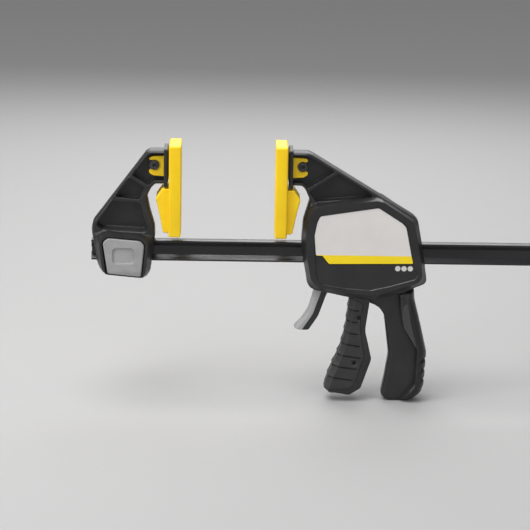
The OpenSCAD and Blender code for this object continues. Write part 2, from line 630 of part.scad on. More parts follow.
// The slot that the brake plate's foot stands in, relieved below the heel
module lever_groove()
  wide(release_w) translate([rel_x + heel_dx + heel_r, rel_z + heel_dz])
    polygon([[0, 60], [0, 0], [-0.35, -1.1], [-1.3, brake_foot - 0.8 - rel_z - heel_dz],
             [brake_t + 4.6, brake_foot - 0.8 - rel_z - heel_dz], [brake_t + 4.6, 60]]);
module release_lever() color([0.13, 0.13, 0.14])
  difference() {
    wide(release_w/2) lever_shape();
    lever_groove();
    wide(release_w) polygon(cover_area);
    pin_y(release_pin_r + run_gap, 40, rel_x, rel_z);
  }
module release_lever_cover() color([0.66, 0.66, 0.65])
  wide(release_w/2) intersection() {
    lever_shape();
    polygon(cover_area);
  }
module release_pin() color([0.7, 0.7, 0.72]) pin_y(release_pin_r, body_w - 2*2.6, rel_x, rel_z);

module brake_plate() color([0.5, 0.5, 0.52])
  translate([brake_x, 0, brake_top]) rotate([0, brake_lean, 0])
    translate([-brake_t/2, 0, 0]) rotate([90, 0, 90]) linear_extrude(brake_t)
      difference() {
        union() {
          translate([-13, bar_base - 8 - brake_top]) square([26, brake_top + 2 - bar_base + 8]);
          translate([-5, brake_foot - brake_top]) square([10, bar_base - 8 - brake_foot + eps]);
        }
        translate([0, (bar_z - brake_top)/cos(brake_lean)])
          square([bar_w + 2*slide_gap, bar_h + 2*slide_gap], center = true);
      }
brake_spring_x = brake_x + brake_t/2 + 0.3;
module brake_spring() color([0.75, 0.75, 0.77])
  translate([brake_spring_x, 0, bar_z])
    coil(sqrt(bar_h*bar_h + bar_w*bar_w)/2 + 1.5, 1.5, 4, bulkhead_x - brake_spring_x - face_gap, 8, 20);

/* Handle trim */
module handle_back_grip() color([0.09, 0.09, 0.1])
  difference() {
    wide(handle_w/2) intersection() {
      handle_outline();
      polygon(strap_area);
    }
    for (k = [0:2])
      translate([mj + 150.8 - 0.6*k, -handle_w, bar_z - 107.5 - k*10.2]) rotate([0, 8, 0])
        cube([5, 2*handle_w, 1.6]);
  }
module handle_inlay(s)
  slab(s > 0 ? handle_w/2 - 1 : -handle_w/2, s > 0 ? handle_w/2 : -handle_w/2 + 1) soft(1) polygon(inlay_pts);
module handle_inlay_front() color([0.25, 0.25, 0.26]) handle_inlay(-1);
module handle_inlay_rear() color([0.25, 0.25, 0.26]) handle_inlay(1);

bar();
bar_stop_pins();
fixed_jaw();
quick_change_button();
lock_pin();
lock_spring();
fixed_pad();
fixed_pad_pin();
body_front();
body_rear();
body_screws();
label_front();
label_rear();
front_bar_guide();
rear_bar_guide();
moving_pad();
moving_pad_pin();
trigger();
trigger_grip();
trigger_screws();
trigger_pin();
drive_plates();
drive_spring();
release_lever();
release_lever_cover();
release_pin();
brake_plate();
brake_spring();
handle_back_grip();
handle_inlay_front();
handle_inlay_rear();
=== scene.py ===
import bpy
import numpy as np
from mathutils import Matrix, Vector
from mathutils.geometry import delaunay_2d_cdt


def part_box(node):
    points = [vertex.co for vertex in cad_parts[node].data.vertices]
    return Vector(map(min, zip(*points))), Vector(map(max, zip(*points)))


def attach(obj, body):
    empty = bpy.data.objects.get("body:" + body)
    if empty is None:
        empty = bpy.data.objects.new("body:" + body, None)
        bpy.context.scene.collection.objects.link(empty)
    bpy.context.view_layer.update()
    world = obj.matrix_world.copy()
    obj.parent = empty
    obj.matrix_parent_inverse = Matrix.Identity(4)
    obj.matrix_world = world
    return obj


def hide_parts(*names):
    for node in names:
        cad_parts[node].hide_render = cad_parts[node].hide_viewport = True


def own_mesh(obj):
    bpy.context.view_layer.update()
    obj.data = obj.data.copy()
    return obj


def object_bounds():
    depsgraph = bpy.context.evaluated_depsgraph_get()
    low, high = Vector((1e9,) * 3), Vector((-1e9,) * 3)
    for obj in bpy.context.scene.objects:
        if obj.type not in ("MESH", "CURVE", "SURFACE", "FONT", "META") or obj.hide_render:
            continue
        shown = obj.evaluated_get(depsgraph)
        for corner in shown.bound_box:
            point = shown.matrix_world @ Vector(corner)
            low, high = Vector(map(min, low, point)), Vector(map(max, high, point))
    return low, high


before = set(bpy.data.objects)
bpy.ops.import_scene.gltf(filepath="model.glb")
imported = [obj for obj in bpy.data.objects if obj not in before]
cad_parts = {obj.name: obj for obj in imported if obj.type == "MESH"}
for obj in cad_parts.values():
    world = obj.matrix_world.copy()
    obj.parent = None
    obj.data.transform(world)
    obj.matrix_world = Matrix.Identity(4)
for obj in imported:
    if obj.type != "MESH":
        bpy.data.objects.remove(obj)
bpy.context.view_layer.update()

# Camera. It stands two metres in front of the clamp and under half a metre above it, and looks slightly down
# on it, turned one degree about its own line of sight.
PLACE = np.array([0.04534, -2.02061, 0.45328])
YAW, PITCH, ROLL = np.radians([1.0265, 14.656, 1.071])
FOCAL, SENSOR = 146.73, 36.0
ahead = np.array([np.sin(YAW) * np.cos(PITCH), np.cos(YAW) * np.cos(PITCH), -np.sin(PITCH)])
level = np.array([np.cos(YAW), -np.sin(YAW), 0.0])
upward = np.cross(level, ahead)
right = level * np.cos(ROLL) + upward * np.sin(ROLL)
top = -level * np.sin(ROLL) + upward * np.cos(ROLL)
lens = bpy.data.cameras.new("camera")
lens.lens, lens.sensor_width = FOCAL, SENSOR
camera = bpy.data.objects.new("camera", lens)
camera.matrix_world = Matrix([[right[i], top[i], -ahead[i], PLACE[i]] for i in range(3)] + [[0, 0, 0, 1]])
bpy.context.scene.collection.objects.link(camera)
bpy.context.scene.camera = camera

# Bar. A rolled steel I-section, blacked all over, with a keyhole cut in its web at each end
# for the pin of the quick-change jaw. The flanges slope inwards, as rolled ones do.
MM = 0.001
bar_low, bar_high = (np.array(c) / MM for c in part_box("bar"))
BAR_Z = (bar_low[2] + bar_high[2]) / 2
BAR_X0, BAR_X1 = bar_low[0], bar_high[0]
WEB_HALF, WEB_TALL = 2.0, 4.6
KEY_X = -54.0
KEY_R, KEY_SLOT = 4.05, 2.3


def cornered(points, radius, steps=8):
    """A closed outline with round corners. Each corner gives way to an arc that touches both its sides:
    centre + r (cos, sin), swept through the angle that the outline turns by, and never longer than 0.46 of a
    side."""
    p = np.asarray(points, float)
    if np.sum(p[:, 0] * np.roll(p[:, 1], -1) - np.roll(p[:, 0], -1) * p[:, 1]) < 0:
        p = p[::-1]
        radius = np.broadcast_to(radius, len(p))[::-1]
    a, b = p - np.roll(p, 1, 0), np.roll(p, -1, 0) - p
    la, lb = np.hypot(*a.T), np.hypot(*b.T)
    a, b = a / la[:, None], b / lb[:, None]
    turn = np.arctan2(a[:, 0] * b[:, 1] - a[:, 1] * b[:, 0], (a * b).sum(1))
    half = np.maximum(np.abs(np.tan(turn / 2)), 1e-9)
    reach = np.minimum(np.broadcast_to(radius, len(p)) * half, 0.46 * np.minimum(la, lb))
    r = (reach / half)[:, None, None]
    inner = np.stack([-a[:, 1], a[:, 0]], 1)[:, None] * np.sign(turn)[:, None, None]
    centre = (p - a * reach[:, None])[:, None] + inner * r
    sweep = np.abs(np.linspace(0, 1, steps)[None] * turn[:, None])[..., None]
    return (centre + r * (a[:, None] * np.sin(sweep) - inner * np.cos(sweep))).reshape(-1, 2)


def evened(loop, step):
    """The same outline with its points at equal distances, about `step` apart, found along its running
    length."""
    closed = np.vstack([loop, loop[:1]])
    run = np.r_[0, np.cumsum(np.hypot(*np.diff(closed, axis=0).T))]
    n = max(12, int(np.ceil(run[-1] / step)))
    at = np.arange(n) * run[-1] / n
    return np.stack([np.interp(at, run, closed[:, k]) for k in (0, 1)], 1)


def depth_in(loop, q):
    """How far each point of q lies inside the outline, negative outside: the least distance to any side, its
    sign from whether a ray along +X crosses the sides an odd number of times."""
    e = np.roll(loop, -1, 0) - loop
    square = np.maximum((e * e).sum(1), 1e-18)
    rise = np.where(np.abs(e[:, 1]) < 1e-12, 1e-12, e[:, 1])
    found = np.empty(len(q))
    for part in np.array_split(np.arange(len(q)), len(q) * len(loop) // 3_000_000 + 1):
        w = q[part, None] - loop
        t = np.clip((w * e).sum(2) / square, 0, 1)
        gap = np.sqrt(((w - t[..., None] * e) ** 2).sum(2).min(1))
        crossed = (w[..., 1] >= 0) != (w[..., 1] - e[:, 1] >= 0)
        odd = (crossed & (w[..., 0] < w[..., 1] / rise * e[:, 0])).sum(1) % 2
        found[part] = np.where(odd == 1, gap, -gap)
    return found


def moulding(outline, near, far, lines=(), holes=(), fill=6.0, step=1.4):
    """A solid between two height fields over one outline in the XZ plane. The outline is cut once into
    triangles that follow the rings in `lines` (an outline, and how far inside it each ring runs); the
    triangles are laid on y = near(q) and y = far(q), and a ribbon joins the two surfaces along every free
    edge. Returns points and faces."""
    border = evened(outline, step)
    inner_edges = [evened(h, step) for h in holes]
    points, edges = [border] + inner_edges, []
    count = 0
    for ring in points:
        k = np.arange(len(ring))
        edges.append(np.stack([k, (k + 1) % len(ring)], 1) + count)
        count += len(ring)

    def clear(q, room=0.03):
        away = [depth_in(border, q)] + [-depth_in(h, q) for h in inner_edges]
        return np.min(away, 0) > room

    for loop, insets in lines:
        base = evened(loop, step)
        ahead_of = np.roll(base, -1, 0) - np.roll(base, 1, 0)
        inward = np.stack([-ahead_of[:, 1], ahead_of[:, 0]], 1) / np.hypot(*ahead_of.T)[:, None]
        for d in insets:
            ring = base + d * inward
            good = clear(ring) & (np.abs(depth_in(base, ring) - d) < 0.02 + 0.12 * abs(d))
            k = np.arange(len(ring))
            both = good & np.roll(good, -1)
            place = np.cumsum(good) - 1 + count
            edges.append(np.stack([place[k[both]], place[(k[both] + 1) % len(ring)]], 1))
            points.append(ring[good])
            count += int(good.sum())
    every = np.vstack(points)
    low, high = border.min(0), border.max(0)
    gx, gz = np.meshgrid(np.arange(low[0] + fill / 2, high[0], fill),
                         np.arange(low[1] + fill / 2, high[1], fill * 0.87))
    gx[::2] += fill / 2
    lattice = np.stack([gx.ravel(), gz.ravel()], 1)
    lattice = lattice[clear(lattice)]
    if len(lattice):
        room = [np.sqrt(((lattice[part, None] - every[None]) ** 2).sum(2).min(1))
                for part in np.array_split(np.arange(len(lattice)),
                                           len(lattice) * len(every) // 3_000_000 + 1)]
        every = np.vstack([every, lattice[np.concatenate(room) > 0.4 * fill]])
    cut = delaunay_2d_cdt(every.tolist(), np.vstack(edges).tolist(), [], 0, 1e-5)
    flat = np.array([v[:] for v in cut[0]])
    tri = np.array(cut[2])
    middle = flat[tri].mean(1)
    tri = tri[clear(middle, 0)]
    used, tri = np.unique(tri, return_inverse=True)
    flat, tri = flat[used], tri.reshape(-1, 3)
    s = flat[tri]
    along, over = s[:, 1] - s[:, 0], s[:, 2] - s[:, 0]
    area = along[:, 0] * over[:, 1] - along[:, 1] * over[:, 0]
    tri[area < 0] = tri[area < 0][:, ::-1]
    n = len(flat)
    sides = np.vstack([tri[:, [0, 1]], tri[:, [1, 2]], tri[:, [2, 0]]])
    code = sides[:, 0] * n + sides[:, 1]
    a, b = sides[~np.isin(sides[:, 1] * n + sides[:, 0], code)].T
    verts = np.vstack([np.stack([flat[:, 0], f(flat), flat[:, 1]], 1) for f in (near, far)])
    return verts, np.vstack([tri, tri[:, ::-1] + n, np.stack([a, a + n, b + n], 1),
                             np.stack([a, b + n, b], 1)])


def tube(rings, tips):
    """A skin over a stack of closed rings that all have the same number of points, with a fan to a tip at
    each end."""
    n, m = rings.shape[:2]
    i, j = (g.ravel() for g in np.meshgrid(np.arange(n - 1), np.arange(m), indexing="ij"))
    a, b, c, d = i * m + j, i * m + (j + 1) % m, (i + 1) * m + (j + 1) % m, (i + 1) * m + j
    k, last = np.arange(m), (n - 1) * m
    fans = [((k + 1) % m, k, np.full(m, n * m)), (last + k, last + (k + 1) % m, np.full(m, n * m + 1))]
    faces = np.vstack([np.stack(corners, 1) for corners in [(a, b, c), (a, c, d)] + fans])
    return np.vstack([rings.reshape(-1, 3), tips]), faces


def swept(section, stations, insets):
    """A closed section in the YZ plane carried along X: ring i stands at stations[i], shrunk by insets[i]
    towards the section's own normals. Fans to the middle close both ends."""
    ahead_of = np.roll(section, -1, 0) - np.roll(section, 1, 0)
    inward = np.stack([-ahead_of[:, 1], ahead_of[:, 0]], 1) / np.hypot(*ahead_of.T)[:, None]
    rings = section[None] + np.asarray(insets)[:, None, None] * inward[None]
    x = np.broadcast_to(np.asarray(stations, float)[:, None], rings.shape[:2])
    tips = [[stations[0], *section.mean(0)], [stations[-1], *section.mean(0)]]
    return tube(np.concatenate([x[..., None], rings], 2), tips)


SHARP = 38.0


def piece(name, parts, body, finish, replaces=()):
    """One object in metres from several closed shells, smooth except where its faces meet at more than SHARP
    degrees."""
    offsets = np.cumsum([0] + [len(v) for v, f in parts[:-1]])
    verts = np.vstack([v for v, f in parts]) * MM
    faces = np.vstack([f + o for (v, f), o in zip(parts, offsets)])
    mesh = bpy.data.meshes.new(name)
    mesh.from_pydata(verts.tolist(), [], faces.tolist())
    mesh.polygons.foreach_set("use_smooth", np.ones(len(faces), bool))
    mesh.set_sharp_from_angle(angle=np.radians(SHARP))
    mesh.materials.append(finish)
    made = bpy.data.objects.new(name, mesh)
    bpy.context.scene.collection.objects.link(made)
    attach(made, body)
    if replaces:
        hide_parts(*replaces)
    return made


def finish_of(name, dark, light, rough, grain, depth, metal=0.0, coat=0.0, patch=60.0, stretch=(1, 1, 1)):
    """A material whose colour drifts between two tones over patches, with a fine grain in its roughness and
    its bump. `rough` is the range of the roughness, `grain` the grain's scale per metre, `depth` its height
    in metres."""
    made = bpy.data.materials.new(name)
    made.use_nodes = True
    nodes, links = made.node_tree.nodes, made.node_tree.links
    shader = nodes["Principled BSDF"]
    shader.inputs["Metallic"].default_value = metal
    shader.inputs["Coat Weight"].default_value = coat
    shader.inputs["Coat Roughness"].default_value = 0.25
    where = nodes.new("ShaderNodeTexCoord")
    turned = nodes.new("ShaderNodeMapping")
    turned.inputs["Scale"].default_value = stretch
    links.new(where.outputs["Object"], turned.inputs["Vector"])

    def noise(scale, detail):
        n = nodes.new("ShaderNodeTexNoise")
        n.inputs["Scale"].default_value = scale
        n.inputs["Detail"].default_value = detail
        links.new(turned.outputs["Vector"], n.inputs["Vector"])
        return n.outputs["Fac"]

    tone = nodes.new("ShaderNodeValToRGB")
    tone.color_ramp.elements[0].position, tone.color_ramp.elements[1].position = 0.3, 0.7
    tone.color_ramp.elements[0].color, tone.color_ramp.elements[1].color = (*dark, 1), (*light, 1)
    links.new(noise(patch, 4), tone.inputs["Fac"])
    links.new(tone.outputs["Color"], shader.inputs["Base Color"])
    spread = nodes.new("ShaderNodeMapRange")
    spread.inputs["From Min"].default_value, spread.inputs["From Max"].default_value = 0.3, 0.7
    spread.inputs["To Min"].default_value, spread.inputs["To Max"].default_value = rough
    links.new(noise(patch * 3.1, 5), spread.inputs["Value"])
    links.new(spread.outputs["Result"], shader.inputs["Roughness"])
    bump = nodes.new("ShaderNodeBump")
    bump.inputs["Strength"].default_value = 1.0
    bump.inputs["Distance"].default_value = depth
    links.new(noise(grain, 3), bump.inputs["Height"])
    links.new(bump.outputs["Normal"], shader.inputs["Normal"])
    return made


black_steel = finish_of("black_steel", (0.012, 0.012, 0.013), (0.022, 0.022, 0.024), (0.26, 0.4), 900.0,
                        0.00004, metal=0.35, coat=0.25, patch=40.0, stretch=(0.25, 1, 1))
flange = np.array([[-5.5, 10], [-5.5, 8.2], [-3.6, 6.6], [-2, 4.2], [2, 4.2], [3.6, 6.6], [5.5, 8.2],
                   [5.5, 10]])
flange_round = [0.9, 0.7, 2.0, 0.3, 0.3, 2.0, 0.7, 0.9]
end_steps, end_insets = [0, 0.15, 0.5], [0.5, 0.15, 0]
bar_stations = [BAR_X0 + s for s in end_steps] + [BAR_X1 - s for s in end_steps[::-1]]
bar_insets = end_insets + end_insets[::-1]
upper = cornered(flange + [0, BAR_Z], flange_round, 5)
lower = cornered(flange * [1, -1] + [0, BAR_Z], flange_round, 5)
turn_over = np.linspace(-1, 1, 25)
mouth = np.arcsin(KEY_SLOT / KEY_R)
around = (np.pi - mouth) * turn_over
far_key = BAR_X1 + BAR_X0 - KEY_X
keyhole = np.stack([KEY_X + KEY_R * np.cos(around), BAR_Z + KEY_R * np.sin(around)], 1)
far_hole = keyhole * [-1, 1] + [KEY_X + far_key, 0]
web = np.vstack([[[BAR_X0, BAR_Z + KEY_SLOT], [BAR_X0, BAR_Z + WEB_TALL], [BAR_X1, BAR_Z + WEB_TALL],
                  [BAR_X1, BAR_Z + KEY_SLOT]],
                 far_hole[::-1], [[BAR_X1, BAR_Z - KEY_SLOT], [BAR_X1, BAR_Z - WEB_TALL],
                                  [BAR_X0, BAR_Z - WEB_TALL], [BAR_X0, BAR_Z - KEY_SLOT]], keyhole])
web_plate = moulding(web, lambda q: np.full(len(q), -WEB_HALF), lambda q: np.full(len(q), WEB_HALF),
                     fill=30.0, step=0.8)
piece("steel_bar", [swept(upper, bar_stations, bar_insets), swept(lower, bar_stations, bar_insets),
                    web_plate], "fixed_side", black_steel, ["bar"])

# Two stop pins pressed through the web near the bar's far end, of ground steel.
# They keep the sliding jaw from running off the bar.
pin_steel = finish_of("ground_steel", (0.5, 0.5, 0.51), (0.6, 0.6, 0.61), (0.2, 0.34), 1500.0, 0.00001,
                      metal=1.0, patch=90.0)
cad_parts["bar_stop_pins"].material_slots[0].material = pin_steel

# Fixed jaw. Glass-filled nylon, moulded in one piece: an arm of I-section with three pockets on each side,
# a flange that the pad leans on, and a foot round the bar with a recess for the quick-change button.
nylon = finish_of("black_nylon", (0.013, 0.013, 0.014), (0.021, 0.021, 0.022), (0.34, 0.46), 2600.0, 0.00003,
                  patch=55.0)
JAW_HALF, FLANGE_WIDE, FOOT_HALF, WEB_FACE = 10.5, 15.5, 18.5, 3.0
ARM_EDGE, FOOT_EDGE = 3.4, 6.6
NOSE_X, FLANGE_X = -16.4, -13.0


def between(outer, inner, q):
    """0 on and outside the outer outline, 1 inside the inner one, and in the band that they bound the share
    of the way across: distance to the outer over the sum of both distances."""
    a, b = depth_in(outer, q), -depth_in(inner, q)
    gone = np.clip(a, 0, None)
    return np.where(b <= 0, 1.0, gone / np.maximum(gone + np.maximum(b, 0), 1e-9))


def bulge(t, power=2.2):
    """A quarter of a superellipse: rises from 0 to 1 steeply at first and arrives level."""
    return (1 - (1 - np.clip(t, 0, 1)) ** power) ** (1 / power)


def blend_up(a, b, k):
    """The greater of two heights, with the crease between them filled over a width of k."""
    return np.maximum(a, b) + np.clip(k - np.abs(a - b), 0, None) ** 2 / (4 * k)


def lip(top, floor, edge=0.8, foot=0.8, draft=0.5):
    """How high the surface stands at each distance inside a pocket's outline: round over the edge, down a
    wall with a little draft, and round again into the floor. Returns distances and heights."""
    a = np.radians([0, 22, 45, 68, 90])
    over = np.stack([-edge * (1 - np.sin(a)), top - edge * (1 - np.cos(a))], 1)
    under = np.stack([draft + foot * (1 - np.cos(a)), floor + foot * (1 - np.sin(a))], 1)
    both = np.vstack([[[-edge - 0.4, top]], over, under, [[draft + foot + 0.4, floor]]])
    return both[:, 0], both[:, 1]


def sunk(height, outline, q, profile):
    """The lower of a height and a pocket's lip at the point's distance inside the pocket's outline."""
    return np.minimum(height, np.interp(depth_in(outline, q), *profile))


def drop(d, r):
    """How far a round edge of radius r has fallen at distance d inside its rim: r - sqrt(r^2 - (r - d)^2)."""
    return r - np.sqrt(r * r - (r - np.clip(d, 0, r)) ** 2)


def rim_rings(r):
    """Distances inside a rim at which rings follow a round edge of radius r."""
    return [r * v for v in (0.04, 0.15, 0.35, 0.65, 1.0, 1.3)]


def plate(outline, near, far, edge, fill=6.0, step=1.4):
    """A flat plate from y = near to y = far whose rims are rounded to the radius `edge`."""
    return moulding(outline, lambda q: near + drop(depth_in(outline, q), edge),
                    lambda q: far - drop(depth_in(outline, q), edge), [(outline, rim_rings(edge))], fill=fill,
                    step=step)


foot_points = [(-84.6, -46), (-80.5, -71), (-78.3, -77.5), (-74.5, -83), (-70, -85.2), (-38, -88),
               (-32.5, -86), (-29, -80.5), (-26.5, -63), (-24.7, -46)]
foot_round = [20, 12, 8, 6, 3, 3, 5, 8, 30, 20]
jaw_outline = cornered([(-13.6, 37.8), (-30, 37.8), (-34, 35), (-84.2, -32.5), (-85.4, -38.5)] + foot_points +
                       [(-24.8, -37), (-29.6, -21), (-32.4, -6.8), (-28.5, 1), (-24.5, 5.2), (-13.6, 5.2)],
                       [0, 6, 6, 9, 9] + foot_round + [12, 25, 8, 6, 4, 0])
jaw_rim = cornered([(-13, 36), (-29.6, 36), (-33, 33.8), (-82, -32.9), (-83, -38.5), (-82, -55), (-28.6, -55),
                    (-28.4, -37), (-33.4, -21), (-35.2, -7.6), (-30.4, 2.4), (-25.4, 7), (-13, 7)],
                   [0, 5, 5, 8, 8, 2, 2, 10, 20, 7, 5, 3, 0])
top_pocket = cornered([(-14, 34.7), (-30.4, 34.7), (-47.2, 14.2), (-30.8, 4.0), (-25.6, 8.8), (-14, 8.8)],
                      [0, 4, 2, 2.5, 3, 0])
mid_pocket = cornered([(-49.2, 11.5), (-62.2, -5.6), (-60.6, -8.0), (-40.4, -9.8), (-38.0, -8.4),
                       (-33.1, 1.2)], [1.8, 1.6, 1.6, 1.8, 1.8, 1.8])
low_pocket = cornered([(-65.6, -11), (-41.2, -12.6), (-38.2, -14.6), (-31.4, -39.6), (-33.6, -43.2),
                       (-76.4, -41.2), (-81.0, -34.8)], [2.5, 2.5, 2.5, 2.5, 2.5, 3, 2.5])
low_floor = cornered([(-64.8, -12.0), (-41.8, -13.6), (-39.2, -15.4), (-32.9, -36.2), (-34.8, -38.4),
                      (-75.8, -36.4), (-79.6, -33.8)], [2, 2, 2, 2, 2, 2, 2])
foot_mid = cornered([(-86.5, -40.2), (-85.4, -43)] + foot_points + [(-24.2, -43.8)],
                    [3, 4] + foot_round + [3])
foot_face = cornered([(-71, -40.7), (-40, -43.2), (-33.6, -47.6), (-31.4, -53), (-33.8, -80.5),
                      (-36.5, -85.8), (-70.5, -82.8), (-74.6, -77.5), (-77.2, -52), (-75.2, -44.6)],
                     [5, 5, 5, 6, 8, 2, 2, 6, 6, 5])
button_edge = cornered([(-74.4, -50.8), (-69.4, -46.4), (-38.2, -48.8), (-34.5, -53.4), (-37.7, -84.3),
                        (-69.5, -81.5)], [3.5, 3.5, 5, 4.5, 2, 2])
button_hole = cornered([(-75.4, -50.4), (-69.8, -45.3), (-37.7, -47.8), (-33.4, -53.0), (-36.6, -90),
                        (-70.4, -90)], [4, 4, 4, 4, 1, 1])
pocket_lip = lip(JAW_HALF, WEB_FACE, 0.7, 0.8, 0.4)
recess_lip = lip(FOOT_HALF, 10.9, 0.6, 0.4, 0.2)


def jaw_height(q):
    """The arm bulges from a thin edge to a level rim and drops into its pockets; the foot slopes out from its
    middle outline to a level face; the higher of the two counts, with a fillet between them."""
    arm = ARM_EDGE + (JAW_HALF - ARM_EDGE) * bulge(between(jaw_outline, jaw_rim, q))
    arm = sunk(arm, top_pocket, q, pocket_lip)
    arm = sunk(arm, mid_pocket, q, pocket_lip)
    t = between(low_pocket, low_floor, q)
    arm = np.minimum(arm, JAW_HALF - (JAW_HALF - WEB_FACE) * (3 * t ** 2 - 2 * t ** 3))
    t = between(foot_mid, foot_face, q)
    slope = np.interp(t, [0, 0.7, 0.82, 0.92, 1], [0, 0.74, 0.89, 0.98, 1])
    foot = np.where(t > 0, FOOT_EDGE + (FOOT_HALF - FOOT_EDGE) * slope, 0)
    return blend_up(arm, foot, 1.6)


def jaw_front(q):
    """The near side has the button's recess cut into the foot."""
    return -sunk(jaw_height(q), button_hole, q, recess_lip)


jaw_lines = [(jaw_outline, [0.12, 0.4, 0.9, 1.6, 2.4, 3.4]), (jaw_rim, [0, 0.5]),
             (top_pocket, pocket_lip[0]), (mid_pocket, pocket_lip[0]),
             (low_pocket, [-0.6, 0, 0.3, 0.6]), (low_floor, [-0.6, -0.3, 0, 0.5]),
             (foot_mid, [0.4, 1.0]), (foot_face, [-3, -1.6, -0.8, -0.3, 0, 0.5]),
             (button_hole, recess_lip[0])]
jaw_body = moulding(jaw_outline, jaw_front, jaw_height, jaw_lines, fill=1.7)


TONGUE_Y, TONGUE_ROOM, TONGUE_LOW, TONGUE_HIGH = 5.0, 2.4, 11.0, 33.6


def flange_outlines(low, high, half):
    """The flange seen along X, and the two slots in it for the pad's tongues."""
    out = cornered([(-half, low), (half, low), (half, high), (-half, high)], 1.6)
    slots = [cornered([(s - TONGUE_ROOM, TONGUE_LOW), (s + TONGUE_ROOM, TONGUE_LOW),
                       (s + TONGUE_ROOM, TONGUE_HIGH),
                       (s - TONGUE_ROOM, TONGUE_HIGH)], 0.5) for s in (-TONGUE_Y, TONGUE_Y)]
    return out, slots


def flange_plate(x0, x1, low, high, half):
    """The flange behind a pad, seen along X: a rounded plate with a slot for each tongue of the pad, its
    edges rounded. It is a moulding turned so that its outline lies in the YZ plane."""
    edge = 0.7
    out, slots = flange_outlines(low, high, half)
    v, f = moulding(out, lambda q: x0 + drop(depth_in(out, q), edge),
                    lambda q: x1 - drop(depth_in(out, q), edge), [(out, rim_rings(edge))], slots, fill=6.0)
    return v[:, [1, 0, 2]], f[:, ::-1]


jaw_flange = flange_plate(NOSE_X, FLANGE_X, 3.4, 40.4, FLANGE_WIDE)


def crown(low, high, half):
    """The flange's face towards the pad: a cushion that stands 1.4 mm proud along the swivel's height and
    falls away above and below it with the square of the distance, so that the pad can rock on it."""
    out, slots = flange_outlines(low, high, half)

    def cushion(q):
        return FLANGE_X + 1.4 - ((q[:, 1] - 23.6) / 17) ** 2 - drop(depth_in(out, q), 0.3)

    v, f = moulding(out, lambda q: np.full(len(q), FLANGE_X - 0.4), cushion, [(out, [0.1, 0.3, 1.0])], slots,
                    fill=3.0)
    return v[:, [1, 0, 2]], f[:, ::-1]


jaw_crown = crown(4.6, 39.4, FLANGE_WIDE - 1.2)
bar_tongue = plate(cornered([(BAR_X0 + 0.6, BAR_Z - 4), (-78, BAR_Z - 4), (-78, BAR_Z + 4),
                             (BAR_X0 + 0.6, BAR_Z + 4)], 0.2), -4.8, 4.8, 0.3)
piece("fixed_jaw_moulding", [jaw_body, jaw_flange, jaw_crown, bar_tongue], "fixed_side", nylon,
      ["fixed_jaw"])

# Quick-change button. Pale grey plastic, slightly domed, with a shallow rounded thumb recess in its middle.
# It slides into the foot on the lock pin when it is pressed.
grey = finish_of("grey_plastic", (0.30, 0.30, 0.30), (0.37, 0.37, 0.365), (0.38, 0.5), 2200.0, 0.00002,
                 patch=70.0)
BUTTON_FACE, BUTTON_BACK = 19.0, 16.5
thumb = cornered([(-65, -56.0), (-44.2, -56.0), (-44.2, -71.8), (-65, -71.8)], 4.0)
thumb_lip = lip(0.0, -1.5, 0.6, 1.2, 0.3)


def button_face(q):
    """A low dome with round edges, its lower end sloping back, and the thumb recess sunk into it."""
    middle = q - [-54, -64]
    dome = 0.35 * (1 - (middle ** 2).sum(1) / 420)
    slope = 0.9 * np.clip(-80.4 - q[:, 1], 0, None)
    face = BUTTON_FACE - 0.35 + dome - drop(depth_in(button_edge, q), 1.3) - slope
    return -np.maximum(face + np.interp(depth_in(thumb, q), *thumb_lip), BUTTON_BACK + 0.3)


button = moulding(button_edge, button_face, lambda q: np.full(len(q), -BUTTON_BACK),
                  [(button_edge, rim_rings(1.3)), (thumb, thumb_lip[0])], fill=2.5)
piece("quick_change_button_cap", [button], "quick_change", grey, ["quick_change_button"])
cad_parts["lock_pin"].material_slots[0].material = pin_steel
spring_steel = finish_of("spring_wire", (0.38, 0.38, 0.4), (0.48, 0.48, 0.5), (0.24, 0.38), 1800.0, 0.00001,
                         metal=1.0, patch=120.0)


def coil(start, end, radius, wire, turns):
    """A closed wire wound round the X axis from start to end: with a = 2 pi times the turns run so far, p =
    (x(a) + r sin f, (R + r cos f) cos a, (R + r cos f) sin a), and a fan to the middle at each end."""
    a = np.linspace(0, turns * 2 * np.pi, int(turns * 36) + 1)[:, None]
    f = np.arange(10)[None] * np.pi / 5
    x = start + wire + (end - start - 2 * wire) * a / a[-1]
    out = radius + wire * np.cos(f)
    rings = np.stack([x + wire * np.sin(f), out * np.cos(a), out * np.sin(a)], 2)
    verts, faces = tube(rings, [rings[0].mean(0), rings[-1].mean(0)])
    return verts, faces[:, [0, 2, 1]]


low, high = (np.array(c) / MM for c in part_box("lock_spring"))
wound, wound_faces = coil(low[1], high[1], (high[0] - low[0]) / 2 - 0.4, 0.4, 4)
lock_coil = np.stack([(low[0] + high[0]) / 2 - wound[:, 1], wound[:, 0],
                      (low[2] + high[2]) / 2 + wound[:, 2]], 1)
made = piece("lock_spring_wire", [(lock_coil, wound_faces)], "fixed_side", spring_steel,
             ["lock_spring"])
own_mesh(made)

